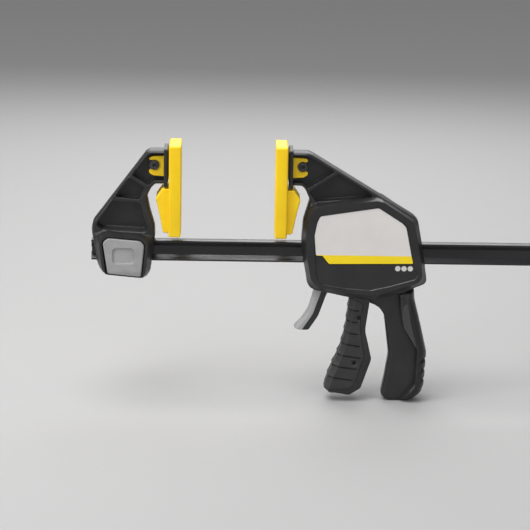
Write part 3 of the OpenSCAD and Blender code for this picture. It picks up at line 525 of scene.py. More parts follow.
# Pads. Soft yellow plastic: a plate with round edges, a wedge that stiffens its back, and two C-shaped
# tongues that pass through the jaw's flange and snap onto a black pin, so that the pad can swivel.
yellow = finish_of("yellow_pad", (0.93, 0.60, 0.001), (1.0, 0.68, 0.003), (0.42, 0.55), 1700.0, 0.000025,
                   patch=35.0)
PAD_T, PAD_HALF, PAD_TALL, PIN_X, PIN_Z, PIN_R = 11.5, 20.0, 44.5, -25.7, 23.6, 4.85
wedge = cornered([(-10.4, 1.8), (-17.6, 2.0), (-24.0, -7.6), (-20.4, -22.6), (-16.8, -41.1), (-10.4, -41.3)],
                 [0, 2, 1.4, 10, 1.5, 0])
arc = np.radians(np.linspace(120, -120, 25))
hook = np.stack([PIN_X + PIN_R * np.cos(arc), PIN_Z + PIN_R * np.sin(arc)], 1)
tongue = np.vstack([[(-10.4, PIN_Z + 9), (-26.4, PIN_Z + 8.4), (-29.4, PIN_Z + 7.6), (-30.6, PIN_Z + 6.2),
                     (-30.4, PIN_Z + 4.9)], hook,
                    [(-30.4, PIN_Z - 4.9), (-30.7, PIN_Z - 7.2), (-29.4, PIN_Z - 8.8),
                                                  (-26.4, PIN_Z - 10.4), (-10.4, PIN_Z - 11.6)]])


def pad_parts():
    """The plate's section is a rounded rectangle carried along X, drawn in at both ends by a round edge."""
    section = cornered([(-PAD_HALF, -PAD_TALL), (PAD_HALF, -PAD_TALL), (PAD_HALF, PAD_TALL),
                        (-PAD_HALF, PAD_TALL)], 2.2, 7)
    a = np.radians(np.linspace(0, 90, 6))
    face_edge, back_edge = 1.0, 1.8
    x = np.r_[-PAD_T, -PAD_T + back_edge * (1 - np.cos(a[1:])), -face_edge + face_edge * np.sin(a[:-1]), 0]
    inset = np.r_[back_edge, back_edge * (1 - np.sin(a[1:])), face_edge * (1 - np.cos(a[:-1])), face_edge]
    parts = [swept(section, x, inset), plate(wedge, -15, 15, 1.2)]
    return parts + [plate(tongue, y, y + 3.6, 0.4, 3.0, 0.7) for y in (-6.9, 3.3)]


def mirrored(parts, at):
    """The same shells reflected in the plane x = at / 2, with their faces turned back outwards."""
    return [(v * [-1, 1, 1] + [at, 0, 0], f[:, ::-1]) for v, f in parts]


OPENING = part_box("moving_pad")[0].x / MM
pad = pad_parts()
piece("fixed_pad_cushion", pad, "fixed_pad", yellow, ["fixed_pad"])
piece("moving_pad_cushion", mirrored(pad, OPENING), "moving_pad", yellow, ["moving_pad"])
TURNED_SIDES = 40
pin_plastic = finish_of("pin_plastic", (0.025, 0.025, 0.026), (0.04, 0.04, 0.042), (0.3, 0.42), 1800.0,
                        0.00002)


def turned(profile, x, z):
    """A profile of (radius, y) turned round the line through (x, z) along Y; its first and last points lie on
    that line."""
    a = np.arange(TURNED_SIDES) * 2 * np.pi / TURNED_SIDES
    r, y = np.asarray(profile, float).T
    radius, place = r[1:-1, None], np.broadcast_to(y[1:-1, None], (len(r) - 2, len(a)))
    verts, faces = tube(np.stack([x + radius * np.cos(a), place, z + radius * np.sin(a)], 2),
                        [[x, y[0], z], [x, y[-1], z]])
    return verts, faces[:, [0, 2, 1]]


pin_profile = [(0, -6.6), (1.7, -6.6), (1.75, -8.3), (1.95, -8.5), (2.9, -8.5), (3.1, -8.3), (4.3, -8.3),
               (4.65, -8.2),
               (4.8, -7.9), (4.8, 7.9), (4.65, 8.2), (4.3, 8.3), (3.1, 8.3), (2.9, 8.5), (1.95, 8.5),
               (1.75, 8.3), (1.7, 6.6), (0, 6.6)]
swivel_pin = [turned(pin_profile, PIN_X, PIN_Z)]
piece("fixed_pad_swivel_pin", swivel_pin, "fixed_side", pin_plastic, ["fixed_pad_pin"])
piece("moving_pad_swivel_pin", mirrored(swivel_pin, OPENING), "moving_jaw", pin_plastic,
      ["moving_pad_pin"])

# Body halves. The sliding jaw is a nylon shell split down the middle plane: an arm with two pockets, a deep
# body with raised side panels, a hollow for the drive, and a pistol grip. Seven screws enter from the rear
# half.
FACE, CAVITY_HALF, MIDDLE_HALF, SEAM = 20.0, 17.5, 10.0, 0.04
LEVER_HALF, TRIGGER_HALF, TUNNEL_HALF, TUNNEL_TALL = 8.8, 13.3, 5.8, 10.3
HANDLE_CORE, HANDLE_RIM = 8.0, 15.5
CAVITY_TOP, WINDOW_TOP, WINDOW_LOW = -34.8, -82, -120
LEVER_WINDOW, TRIGGER_WINDOW = (36.5, 58), (71, 106)
BOSS_R, WELL_R = 4.4, 3.95


def at_jaw(points):
    """Points measured from the moving pad's face, moved to where that face is."""
    return np.asarray(points, float) + [OPENING, 0]


belly = [(141.7, -48), (147.4, -83), (147.8, -87), (145, -89.8), (135.3, -93.2), (122, -98.6), (98, -104.4),
         (88, -104.6), (69, -101.8), (51, -98.0), (39, -95.8), (34.6, -93.5), (32, -89), (28.5, -69),
         (26, -50)]
belly_round = [30, 8, 5, 4, 8, 20, 12, 12, 20, 20, 6, 4, 8, 30, 25]
body_outline = cornered(at_jaw([(13.6, 37.8), (30.5, 37.8), (34.5, 36.3), (133.7, -23.5),
                                (137.8, -28)] + belly +
                               [(27.2, -29), (33.2, -8.6), (28.5, 1.7), (25, 5.2), (13.6, 5.2)]),
                        [0, 5, 6, 8, 6] + belly_round + [25, 7, 5, 4, 0])
body_mid = cornered(at_jaw([(97.5, -3.2), (133.7, -25.0), (137.8, -28.6)] + belly +
                           [(27.4, -29), (32.0, -17), (36.4, -10.2), (66, -7.0)]),
                    [8, 8, 6] + belly_round + [12, 6, 3, 20])
panel = cornered(at_jaw([
    (38.7, -12.8), (66.2, -8.9), (96.5, -5.9), (103.2, -6.9), (127.6, -23.2), (132.5, -26.6), (140.6, -64.9),
    (142.1, -80.7), (138.5, -85.7), (98.5, -98.3), (86, -98), (42.5, -91.1), (35.6, -84.2), (31.2, -59.5),
    (30.1, -40.8), (34.1, -20.2)]), [7, 20, 6, 6, 10, 5, 20, 6, 6, 8, 8, 7, 6, 20, 20, 7])
arm_rim = cornered(at_jaw([
    (13, 35.9), (30.1, 35.9), (33.6, 34.6), (132.2, -24.9), (126, -50), (60, -60), (34, -40), (33.4, -24),
    (36.8, -8.6), (30.6, 3.2), (26, 7), (13, 7)]), [0, 4, 5, 5, 5, 5, 5, 5, 7, 4, 3, 0])
arm_pocket_a = cornered(at_jaw([(14, 34.6), (31.2, 34.6), (57.2, 20.2), (30.9, 3.0), (26.4, 8.0), (14, 8.0)]),
                        [0, 4, 1.5, 2, 3, 0])
arm_pocket_b = cornered(at_jaw([(59.6, 18.4), (92.6, -1.8), (92.2, -4.6), (39.0, -9.6), (32.4, 0.0)]),
                        [1.6, 2, 1.2, 3, 2])
cavity = cornered(at_jaw([(34.6, CAVITY_TOP), (133.2, CAVITY_TOP), (137, -64), (138, -79), (120, -88.4),
                          (98, -93.4), (86, -93.6), (44, -87.2), (39.8, -83), (35.2, -60)]), 2.0)
label_edge = cornered(at_jaw([
    (43.2, -21.7), (98.7, -12.9), (122, -27.7), (125.5, -31.6), (131.2, -58.6), (133.3, -67), (52.5, -68.3),
    (46, -60.3), (39.8, -60.2), (38.1, -40.7), (40.5, -27.9)]), [3, 2.5, 2, 3, 2, 0.8, 0.5, 0.5, 0.8, 4, 3])
label_hole = cornered(at_jaw([
    (42.5, -20.9), (98.9, -11.9), (122.7, -27.0), (126.5, -31.2), (132.2, -58.5), (134.5, -68.0),
                              (52.0, -69.3),
    (45.5, -61.3), (38.8, -61.2), (37.0, -40.7), (39.5, -27.3)]), [3, 2.5, 2, 3, 2, 0.8, 0.5, 0.5, 0.8, 4, 3])
arm_lip = lip(JAW_HALF, WEB_FACE, 0.7, 0.8, 0.4)
label_lip = lip(FACE, FACE - 1.8, 0.1, 0.1, 0.05)
field = cornered(at_jaw([(42.6, -21), (98.9, -12.0), (122.6, -27.1), (126.4, -31.3),
    (134.2, -67.9), (138.9, -78.6), (135.7, -83), (111, -90.3), (93.4, -94.4),
    (69.3, -92.7), (46.3, -89.1), (42.1, -85.9), (40.2, -78.4), (37.2, -40.7), (39.7, -27.4)]),
                 [3, 2.5, 2, 3] + [3] * 9 + [4, 3])
FIELD_DEPTH = 0.8
panel_rise = np.array([[0, 0], [0.72, 0.78], [0.82, 0.885], [0.9, 0.95], [0.96, 0.987], [1, 1]]).T


def body_height(q):
    """Arm and body worked out like the fixed jaw's, the body's edge standing higher along the bottom, where
    the trigger and the lever come out; a shallow field and the label's recess are sunk into the panel."""
    arm = ARM_EDGE + (JAW_HALF - ARM_EDGE) * bulge(between(body_outline, arm_rim, q))
    arm = sunk(arm, arm_pocket_a, q, arm_lip)
    arm = sunk(arm, arm_pocket_b, q, arm_lip)
    edge = np.interp(q[:, 1], [-97, -86], [14.2, 7.4])
    t = between(body_mid, panel, q)
    side = np.where(t > 0, edge + (FACE - edge) * np.interp(t, *panel_rise), 0)
    side = side - FIELD_DEPTH * np.interp(depth_in(field, q), [0, 0.7], [0, 1])
    return sunk(blend_up(arm, side, 1.2), label_hole, q, label_lip)


screw_rows = np.array([(46, -24, 14.5), (115, -25, 14.5), (131, -80, 14.5), (67, -89, 14.5),
                       (124, -113, 10.5), (119, -165, 5.0), (121, -200, 5.0)]) + [OPENING, 0, 0]


def from_screw(q):
    """Distance from each point to the nearest screw's axis, and how far out that screw's head sits."""
    gap = np.hypot(q[:, None, 0] - screw_rows[:, 0], q[:, None, 1] - screw_rows[:, 1])
    return gap.min(1), screw_rows[gap.argmin(1), 2]


def inside_height(q):
    """The shell's inner side: the seam at the middle plane, the bar's tunnel, the hollow for the drive with a
    solid boss round each screw, and the two windows in the bottom for the lever and the trigger."""
    x, z = q[:, 0] - OPENING, q[:, 1]
    seam = SEAM + 0.3 * np.clip(1 - depth_in(body_outline, q) / 0.3, 0, 1)
    tunnel = np.where(np.abs(z - BAR_Z) < TUNNEL_TALL, TUNNEL_HALF, seam)
    gap = from_screw(q)[0]
    middle = np.where((depth_in(body_mid, q) > 3.5) & (z < CAVITY_TOP) & (gap > BOSS_R), MIDDLE_HALF, tunnel)
    hollow = np.where((depth_in(cavity, q) > 0) & (gap > BOSS_R), CAVITY_HALF, middle)
    lever = np.where((x > LEVER_WINDOW[0]) & (x < LEVER_WINDOW[1]) & (z < WINDOW_TOP), LEVER_HALF, hollow)
    under = (x > TRIGGER_WINDOW[0]) & (x < TRIGGER_WINDOW[1]) & (z < WINDOW_TOP) & (gap > BOSS_R)
    return np.where(under, np.maximum(TRIGGER_HALF, lever), lever)


def box_ring(x0, x1, z0, z1):
    """A rectangle measured from the moving pad's face, as an outline."""
    return at_jaw([(x0, z0), (x1, z0), (x1, z1), (x0, z1)])


def disc_ring(x, z, r, n=32):
    """A circle as an outline: centre + r (cos, sin)."""
    a = np.arange(n) * 2 * np.pi / n
    return np.stack([x + r * np.cos(a), z + r * np.sin(a)], 1)


WALL_STEP = [-0.05, 0.05]
body_lines = [(body_outline, [0.12, 0.4, 0.9, 1.6, 2.4, 3.4]), (arm_rim, [0, 0.5]),
              (arm_pocket_a, arm_lip[0]), (arm_pocket_b, arm_lip[0]), (body_mid, [0.3, 0.8, 3.45, 3.55]),
              (panel, [-2.6, -1.2, -0.6, -0.3, -0.12, 0, 0.4]),
              (label_hole, label_lip[0]), (field, [0, 0.7]), (cavity, WALL_STEP),
              (box_ring(*LEVER_WINDOW, WINDOW_LOW, WINDOW_TOP), WALL_STEP),
              (box_ring(*TRIGGER_WINDOW, WINDOW_LOW, WINDOW_TOP), WALL_STEP),
              (box_ring(-20, 180, BAR_Z - TUNNEL_TALL, BAR_Z + TUNNEL_TALL), WALL_STEP),
              (box_ring(-20, 180, -140, CAVITY_TOP), WALL_STEP)]
body_lines += [(disc_ring(x, z, BOSS_R), WALL_STEP) for x, z, y in screw_rows[:4]]
head_lip = lip(0, -1, 0.25, 0.1, 0.1)


def with_heads(height):
    """The same height with a round well above each screw's head, down to just over where the head bears."""
    def wells(q):
        gap, seat = from_screw(q)
        h = height(q)
        return h + (seat - h) * np.interp(WELL_R - gap, head_lip[0], -head_lip[1])
    return wells


handle_outline = cornered(at_jaw([
    (107.5, -95), (107.5, -119.8), (109.6, -134), (113.4, -161.4), (110.1, -185), (106.9, -202.6),
                                  (112.7, -208.8),
    (127.4, -207.8), (137, -207.9), (146, -200.6), (149, -192), (150.5, -159.2), (144.8, -135.5),
                                  (136.9, -105.3),
    (136.1, -95)]), [0, 12, 20, 18, 20, 3, 5, 5, 6, 6, 12, 25, 30, 20, 0])
web_outline = cornered(at_jaw([(93, -96), (93, -109.6), (98, -111.6), (103, -114.6), (107.4, -120.8),
                               (109.4, -130), (114, -130), (114, -96)]), [0, 2, 10, 8, 8, 0, 0, 0])
rim_line = cornered(at_jaw([
    (121.1, -95), (122.1, -114.6), (125, -130.7), (139.3, -155.8), (138.3, -189.8), (125.2, -207.0),
                            (126, -215),
    (165, -215), (165, -95)]), [0, 10, 10, 8, 8, 1, 1, 1, 0])
rim_rise = np.array([[-0.2, 0], [0, 0.12], [0.4, 0.45], [1.1, 0.8], [2.0, 0.96], [3.0, 1]]).T


NOTCHES = np.array([-165.0, -175.4, -185.2])


def notch(z):
    """1 in the middle of each notch, falling in a straight line to 0 above it and more slowly below it."""
    below = z[:, None] - NOTCHES
    return np.clip(np.where(below > 0, 1 - below / 1.2, 1 + below / 3.4), 0, 1).max(1)


def notched(loop):
    """The outline with its points behind the grip drawn in by up to 1.9 mm at the notches."""
    fine = evened(loop, 0.5)
    return fine - np.stack([1.9 * notch(fine[:, 1]) * (fine[:, 0] > OPENING + 145), np.zeros(len(fine))], 1)


def round_back(q):
    """The grip's rounded back: a quarter ellipse that rises over nine millimetres from the rear edge, cut
    three millimetres deep by the notches near that edge."""
    inside = np.clip((q[:, 0] - OPENING - 143.6) / 1.5, 0, 1)
    return 3 + 12.9 * bulge(depth_in(handle_outline, q) / 9, 2.0) - 3.0 * notch(q[:, 1]) * inside


def handle_height(q):
    """A flat core with a round front edge, and a raised rim towards the back whose own back edge is round."""
    core = HANDLE_CORE - drop(depth_in(handle_outline, q), 3.6)
    rim = (HANDLE_RIM - HANDLE_CORE) * np.interp(depth_in(rim_line, q), *rim_rise)
    return np.minimum(core + rim, np.where(depth_in(rim_line, q) > 0, round_back(q) - 0.4, 99))


notch_lines = [(np.array([[OPENING + 140, z + o], [OPENING + 155, z + o], [OPENING + 155, z + o - 0.01],
                          [OPENING + 140, z + o - 0.01]]), [0]) for z in NOTCHES for o in (1.2, 0.0, -3.4)]
handle_back = notched(handle_outline)
handle_lines = [(handle_back, rim_rings(3.6)), (rim_line, rim_rise[0])] + notch_lines
handle_wells = [(disc_ring(x, z, WELL_R, 28), [-0.3, -0.1, 0, 0.1, 0.3]) for x, z, y in screw_rows]


def half(side):
    """Three shells of one half: the hollow body with its arm, the handle, and the web between handle and
    body."""
    height = body_height if side < 0 else with_heads(body_height)
    grip = handle_height if side < 0 else with_heads(handle_height)
    seam = lambda q: np.full(len(q), SEAM)
    pairs = [(body_outline, height, inside_height, body_lines + (handle_wells[:4] if side > 0 else []), 1.8),
             (handle_back, grip, seam, handle_lines + (handle_wells[4:] if side > 0 else []), 3.0),
             (web_outline, lambda q: HANDLE_CORE - 0.2 - drop(depth_in(web_outline, q), 1.5), seam,
              [(web_outline, rim_rings(1.5))], 4.0)]
    made = []
    for outline, outer, inner, lines, fill in pairs:
        near, far = ((lambda q, f=outer: -f(q)), (lambda q, f=inner: -f(q))) if side < 0 else (inner, outer)
        made.append(moulding(outline, near, far, lines, fill=fill))
    return made


jaw_flange_right = mirrored([jaw_flange, jaw_crown], OPENING)
piece("body_half_front", half(-1) + jaw_flange_right, "moving_jaw", nylon, ["body_front"])
piece("body_half_rear", half(1), "moving_jaw", nylon, ["body_rear"])
screw_steel = finish_of("black_zinc", (0.018, 0.018, 0.019), (0.03, 0.03, 0.032), (0.25, 0.4), 1600.0,
                        0.00001, metal=0.9, patch=140.0)
plate_steel = finish_of("hardened_plate", (0.22, 0.22, 0.23), (0.31, 0.31, 0.32), (0.3, 0.46), 1300.0,
                        0.00002, metal=1.0, patch=80.0)
for node, finish in (("body_screws", screw_steel), ("front_bar_guide", plate_steel),
                     ("rear_bar_guide", plate_steel)):
    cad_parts[node].material_slots[0].material = finish

# Labels. A thin satin plate let into each panel: warm grey with a yellow band along its lower edge.
# Three plain pale dots are printed below the band. There is no lettering.
label_grey = finish_of("label_grey", (0.70, 0.665, 0.64), (0.76, 0.725, 0.70), (0.4, 0.5), 3000.0, 0.00001,
                       patch=30.0)
label_yellow = finish_of("label_yellow", (0.92, 0.68, 0.006), (0.97, 0.73, 0.010), (0.38, 0.48), 3000.0,
                         0.00001, patch=30.0)
dot_white = finish_of("dot_white", (0.62, 0.6, 0.57), (0.7, 0.68, 0.65), (0.45, 0.55), 3000.0, 0.00001,
                      patch=90.0)
BAND_Z = -59.6
band_line = at_jaw([(0, BAND_Z), (200, BAND_Z), (200, -100), (0, -100)])


def label_parts(side):
    """The plate, and three thin discs, on the near side or the far side of the body."""
    def slab(outline, outer, inner, edge, lines=()):
        rings = [(outline, rim_rings(edge))] + list(lines)
        top_side = lambda q: outer - drop(depth_in(outline, q), edge)
        flat = lambda q: np.full(len(q), inner)
        near, far = ((lambda q: -top_side(q)), (lambda q: -flat(q))) if side < 0 else (flat, top_side)
        return moulding(outline, near, far, rings, fill=9.0)
    plate_part = slab(label_edge, FACE - 0.65, FACE - 1.78, 0.1, [(band_line, [0])])
    dots = [slab(disc_ring(OPENING + x, -72, 2.65, 36), FACE - 0.76, FACE - 1.0, 0.02)
            for x in (118.6, 124.6, 130.6)]
    return plate_part, dots


for side, name, node in ((-1, "label_plate_front", "label_front"), (1, "label_plate_rear", "label_rear")):
    plate_part, dots = label_parts(side)
    made = piece(name, [plate_part] + dots, "moving_jaw", label_grey, [node])
    made.data.materials.append(label_yellow)
    made.data.materials.append(dot_white)
    middle = np.empty(len(made.data.polygons) * 3)
    made.data.polygons.foreach_get("center", middle)
    which = np.where(middle.reshape(-1, 3)[:, 2] < BAND_Z * MM, 1, 0)
    which[len(plate_part[1]):] = 2
    made.data.polygons.foreach_set("material_index", which)

# Trigger. A nylon blade whose two cheeks reach up past the bar to a pin, so that it straddles the bar and the
# web of the grip. The nose on each cheek pushes the drive plates along the bar when the blade is squeezed.
TRIGGER_SIDE, SLOT_HALF, BLADE_BEVEL = 12.5, 8.5, 5.6
SLOT_X, SLOT_LOW = 82, -117
blade_back = [(54.2, -199.2), (76, -202.2), (86.8, -195.2), (96.5, -165.4), (89.5, -136.3), (93.4, -105.6),
              (93.0, -92)]
blade_front = [(73.8, -92), (73.8, -104), (73.6, -111), (72.5, -121.5), (71.2, -132.8), (69.2, -144.1),
               (66.2, -155.4), (62.5, -164.9), (58.4, -174.4), (54.2, -185.8), (51.0, -197.4)]
blade_round = [0, 2, 10, 30, 30, 30, 30, 30, 30, 20, 1.5, 2.5, 3, 4, 8, 25, 6, 0]
blade = cornered(at_jaw(blade_front + blade_back), blade_round)
core_outline = cornered(at_jaw([(x + 1.6 * (z < -104.5), z) for x, z in blade_front] + blade_back),
                        blade_round)
grip_edge = [(52.6, -196.6), (75.8, -195.8), (80.2, -191.2), (82.7, -184.3), (86.9, -170.1), (89.5, -162.4),
             (86.3, -146), (84.6, -133.2), (85.2, -120.4), (86.9, -111.5), (85, -108.2), (77, -105.6)]
grip_edge_round = [1, 4, 3, 20, 10, 6, 20, 15, 15, 3, 3, 1]
grip_bed = cornered(at_jaw([(40, -196.6)] + grip_edge + [(60, -105.6)]), [0] + grip_edge_round + [0])
ridge = cornered(at_jaw([(80.2, -80), (80.0, -104.9), (78.2, -117.7), (75.6, -132.7), (72.9, -146.6),
                         (69.2, -159.6),
                         (64.0, -174.0), (59.6, -185.6), (55.8, -196.6), (56, -215), (120, -215),
                         (120, -80)]),
                [0, 10, 20, 20, 20, 20, 20, 10, 2, 0, 0, 0])
screw_spots = at_jaw([(83.1, -123.8), (79.7, -169.4)])
bed_lip = (np.array([-0.7, -0.35, -0.1, 0, 0.2]), np.array([0, -0.12, -0.45, -0.8, -2.3]))


def bevelled_side(t):
    """A level side with a bevel at its front, for the share t of the way from the front edge to the ridge."""
    return TRIGGER_SIDE - BLADE_BEVEL * (1 - np.interp(t, [0, 0.85, 0.95, 1], [0, 0.88, 0.97, 1]))


def blade_height(q):
    """A level side with a bevel up to the ridge at its front and a round rear edge, cut down where the grip
    sits."""
    t = between(blade, ridge, q)
    side = bevelled_side(t) - drop(depth_in(blade, q), 1.0) * (q[:, 0] > OPENING + 60) * (t >= 1)
    return side + np.interp(depth_in(grip_bed, q), *bed_lip)


def blade_slot(q):
    """The blade is solid to the middle plane but for the slot that the grip's web enters."""
    x, z = q[:, 0] - OPENING, q[:, 1]
    return np.where((x > SLOT_X) & (z > SLOT_LOW), SLOT_HALF, 0.0)


def both_sides(outline, inner, outer, lines, fill, step=1.4):
    """Two shells over one outline, from inner(q) out to outer(q), one on each side of the middle plane."""
    return [moulding(outline, lambda q: -outer(q), lambda q: -inner(q), lines, fill=fill, step=step),
            moulding(outline, inner, outer, lines, fill=fill, step=step)]


blade_lines = [(blade, [0.1, 0.4, 0.8, 1.3]), (ridge, [-0.9, -0.4, 0, 0.4]), (grip_bed, bed_lip[0]),
               (box_ring(SLOT_X, 130, SLOT_LOW, -60), WALL_STEP)]
cheek = cornered(at_jaw([
    (73.6, -100), (76, -83), (86, -65), (88.6, -46), (91, -38.6), (96, -36), (101, -38.6), (103, -44),
                         (103, -77),
    (106, -77), (106, -83), (103, -83), (97, -89), (93.0, -100)]),
                 [0, 4, 6, 4, 4, 6, 4, 3, 0.3, 2.9, 2.9, 2, 6, 0])
trigger_parts = both_sides(core_outline, blade_slot, blade_height, blade_lines, 3.5)
trigger_parts += [plate(cheek, y, y + TRIGGER_SIDE - SLOT_HALF, 0.5, 8.0) for y in (-TRIGGER_SIDE, SLOT_HALF)]
piece("trigger_blade", trigger_parts, "trigger", nylon, ["trigger"])

# Trigger grip. Soft rubber moulded over the blade's front and sides in overlapping ribs, each of which stands
# a little proud at its lower end, with two sunk holes on each side for its screws.
rubber = finish_of("soft_rubber", (0.020, 0.020, 0.020), (0.032, 0.032, 0.031), (0.45, 0.6), 3200.0, 0.00005,
                   patch=70.0)
RIB_FIRST, RIB_PITCH, RIB_COUNT, RIB_TILT = -116.0, 11.8, 7, 0.13


def rib_run(q):
    """How far down its rib each point lies, from 0 at the top to 1 at the lower end; the ribs run a little
    downhill."""
    s = RIB_FIRST - (q[:, 1] + RIB_TILT * (q[:, 0] - OPENING - 75))
    return np.mod(s / RIB_PITCH, 1.0), s / RIB_PITCH


def ribbed_front(loop):
    """The outline with its front edge pushed out by up to 0.8 mm towards the lower end of each rib."""
    run, number = rib_run(loop)
    front = (depth_in(ridge, loop) < 0) & (loop[:, 1] > -193) & (loop[:, 1] < -106)
    push = 0.8 * np.interp(run, [0, 0.06, 0.55, 0.93, 1], [0.2, 0, 0.15, 1, 0.9])
    return loop - np.stack([push * front, np.zeros(len(loop))], 1)


grip_plain = cornered(at_jaw([(77, -105.6), (73.7, -105.4)] + blade_front[2:] + grip_edge[:-1])[::-1],
                      ([1, 1] + [20] * 8 + [1] + grip_edge_round[:-1])[::-1])
grip_outline = ribbed_front(evened(grip_plain, 0.5))


def grip_height(q):
    """The blade's own bevelled side, 0.15 mm proud, with a groove between ribs that dies out before the
    grip's edge, each rib swelling towards its lower end over the bevel, and two screw holes."""
    t = between(blade, ridge, q)
    run, number = rib_run(q)
    side = bevelled_side(t) + 0.15
    edge = depth_in(grip_bed, q)
    inside = np.clip((edge - 1.6) / 1.2, 0, 1)
    gap = np.minimum(run, 1 - run) * RIB_PITCH
    ribbed = (number > -0.1) & (number < RIB_COUNT - 0.5)
    groove = 1.25 * np.clip(1 - gap / 1.0, 0, 1) ** 0.7 * inside * ribbed
    on_bevel, below_top = np.clip(1.25 - t, 0, 1), np.clip((-109 - q[:, 1]) / 6, 0, 1)
    swell = 0.9 * np.interp(run, [0, 0.12, 0.5, 0.9, 1], [-0.6, -0.5, 0, 0.8, 0.6]) * on_bevel * below_top
    h = side - groove + swell - drop(edge, 0.5)
    for x, z in screw_spots:
        gap = np.hypot(q[:, 0] - x, q[:, 1] - z)
        h = h - np.interp(gap, [0, 1.7, 1.9, 2.1, 2.9, 3.3], [2.2, 2.2, 1.6, 0.5, 0.35, 0])
    return h


rows = at_jaw(np.stack([np.full(RIB_COUNT, 45.0),
                        RIB_FIRST - RIB_PITCH * np.arange(RIB_COUNT) + RIB_TILT * 30], 1))
rib_lines = [(np.array([[x, z + o], [x + 50, z + o - RIB_TILT * 50], [x + 50, z + o - RIB_TILT * 50 - 0.01],
                        [x, z + o - 0.01]]), [0]) for x, z in rows for o in (1.0, 0.5, 0.0, -0.5, -1.0)]
grip_lines = [(grip_outline, [0.1, 0.3]), (grip_bed, [0.04, 0.2, 0.5, 1.6, 2.2]),
              (ridge, [-0.9, -0.4, 0, 0.4])]
grip_lines += [(disc_ring(x, z, 2.0, 28), [-1.3, -0.9, -0.1, 0.1, 0.3]) for x, z in screw_spots] + rib_lines
grip_lines += [(box_ring(SLOT_X, 130, SLOT_LOW, -60), WALL_STEP)]
grip_shells = both_sides(grip_outline, lambda q: np.maximum(blade_slot(q), 0.01), grip_height, grip_lines,
                         2.5, 1.0)
piece("trigger_grip_ribs", grip_shells, "trigger", rubber, ["trigger_grip"])

# Drive and brake. Three hardened plates stand square on the bar behind the trigger's noses, and a coil spring
# pushes them back. The brake plate and its spring stand nearer the pad. One pin holds the trigger and one the
# release lever.
for node, finish in (("trigger_screws", screw_steel), ("trigger_pin", pin_steel), ("release_pin", pin_steel),
                     ("drive_plates", plate_steel), ("brake_plate", plate_steel),
                     ("brake_spring", spring_steel)):
    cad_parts[node].material_slots[0].material = finish
low, high = (np.array(c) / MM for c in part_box("drive_spring"))
wound, wound_faces = coil(low[0], high[0], (high[1] - low[1]) / 2 - 0.9, 0.9, 5)
made = piece("drive_spring_wire", [(wound + [0, 0, BAR_Z], wound_faces)], "moving_jaw",
             spring_steel, ["drive_spring"])
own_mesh(made)

# Release lever. A black nylon lever hung on a pin below the bar, its heel against the foot of the brake
# plate, with a pale grey cover clipped over its front edge for the finger that pulls it.
LEVER_SIDE = 8.0
lever_outline = cornered(at_jaw([
    (39.3, -97.4), (37.2, -93.5), (36.8, -90.0), (38.0, -88.1), (39.8, -88.2), (40.8, -90.0), (39.6, -94.8),
    (48.4, -94.8), (48.4, -81.5), (50.5, -78.0), (54.8, -76.5), (59.3, -78.5), (61.3, -83), (59.8, -88),
                                 (55, -96),
    (51.4, -101.5), (43.9, -123.4), (34.8, -137.6), (28.0, -137.9), (38.8, -122), (45.8, -101),
                                 (46.8, -97.4)]),
    [1, 2, 2, 1.5, 1.5, 1.5, 0.5, 0.5, 2, 3, 4, 4, 4, 4, 6, 20, 25, 2.2, 0.6, 25, 20, 0.5])
cover_outline = cornered(at_jaw([
    (39.4, -97.5), (38.9, -100.5), (34.4, -117.6), (28.6, -127.0), (20.4, -136.2), (28.0, -138.0),
    (38.6, -122), (45.6, -101), (46.6, -97.5)]), [0.5, 6, 20, 14, 0.6, 0.5, 25, 20, 0.5])
cover_face = cornered(at_jaw([
    (41.4, -90), (40.9, -100.5), (36.3, -118.6), (30.2, -128.4), (23.0, -136.8), (24, -150), (60, -150),
                              (60, -90)]),
    [0.5, 6, 20, 14, 0.6, 0.5, 0.5, 0.5])
piece("release_lever_arm", [plate(lever_outline, -LEVER_SIDE, LEVER_SIDE, 0.8, 4.0, 1.0)], "release_lever",
      nylon, ["release_lever"])


def cover_side(q):
    """A level side with a small round edge, falling away in a flat bevel towards the finger."""
    bevel = 2.6 * np.clip(-depth_in(cover_face, q) / 1.9, 0, 1)
    return LEVER_SIDE + 0.15 - bevel - drop(depth_in(cover_outline, q), 0.35)


piece("release_lever_front", [moulding(cover_outline, lambda q: -cover_side(q), cover_side,
                                       [(cover_outline, rim_rings(0.35)), (cover_face, [-0.1, 0.1])],
                                       fill=4.0, step=1.0)],
      "release_lever", grey, ["release_lever_cover"])

# Grip trim. A strap of glossy black rubber wraps the back of the grip, with three finger-rest notches low
# down, and a stippled grey inlay fills the corner between the strap and the raised rim on each side.
gloss = finish_of("gloss_rubber", (0.006, 0.006, 0.006), (0.010, 0.010, 0.011), (0.3, 0.42), 1500.0, 0.00002,
                  patch=50.0)
strap_round = [0, 8, 10, 6, 10, 5, 0.6, 3, 6, 12, 25, 30, 20, 0]
strap_plain = cornered(at_jaw([
    (130.9, -97), (134, -127), (139.7, -147), (142.4, -155), (141.6, -189), (137, -197), (128.6, -208.2),
                               (137, -207.9),
    (146, -200.6), (149, -192), (150.5, -159.2), (144.8, -135.5), (136.9, -105.3), (136.4, -97)]),
                       strap_round)


strap_outline = notched(strap_plain)


def strap_height(q):
    """The grip's rounded back with the strap's own front edge rounded."""
    front = depth_in(strap_plain, q)
    return round_back(q) - drop(front, 0.45) * (depth_in(handle_outline, q) > front + 0.3)


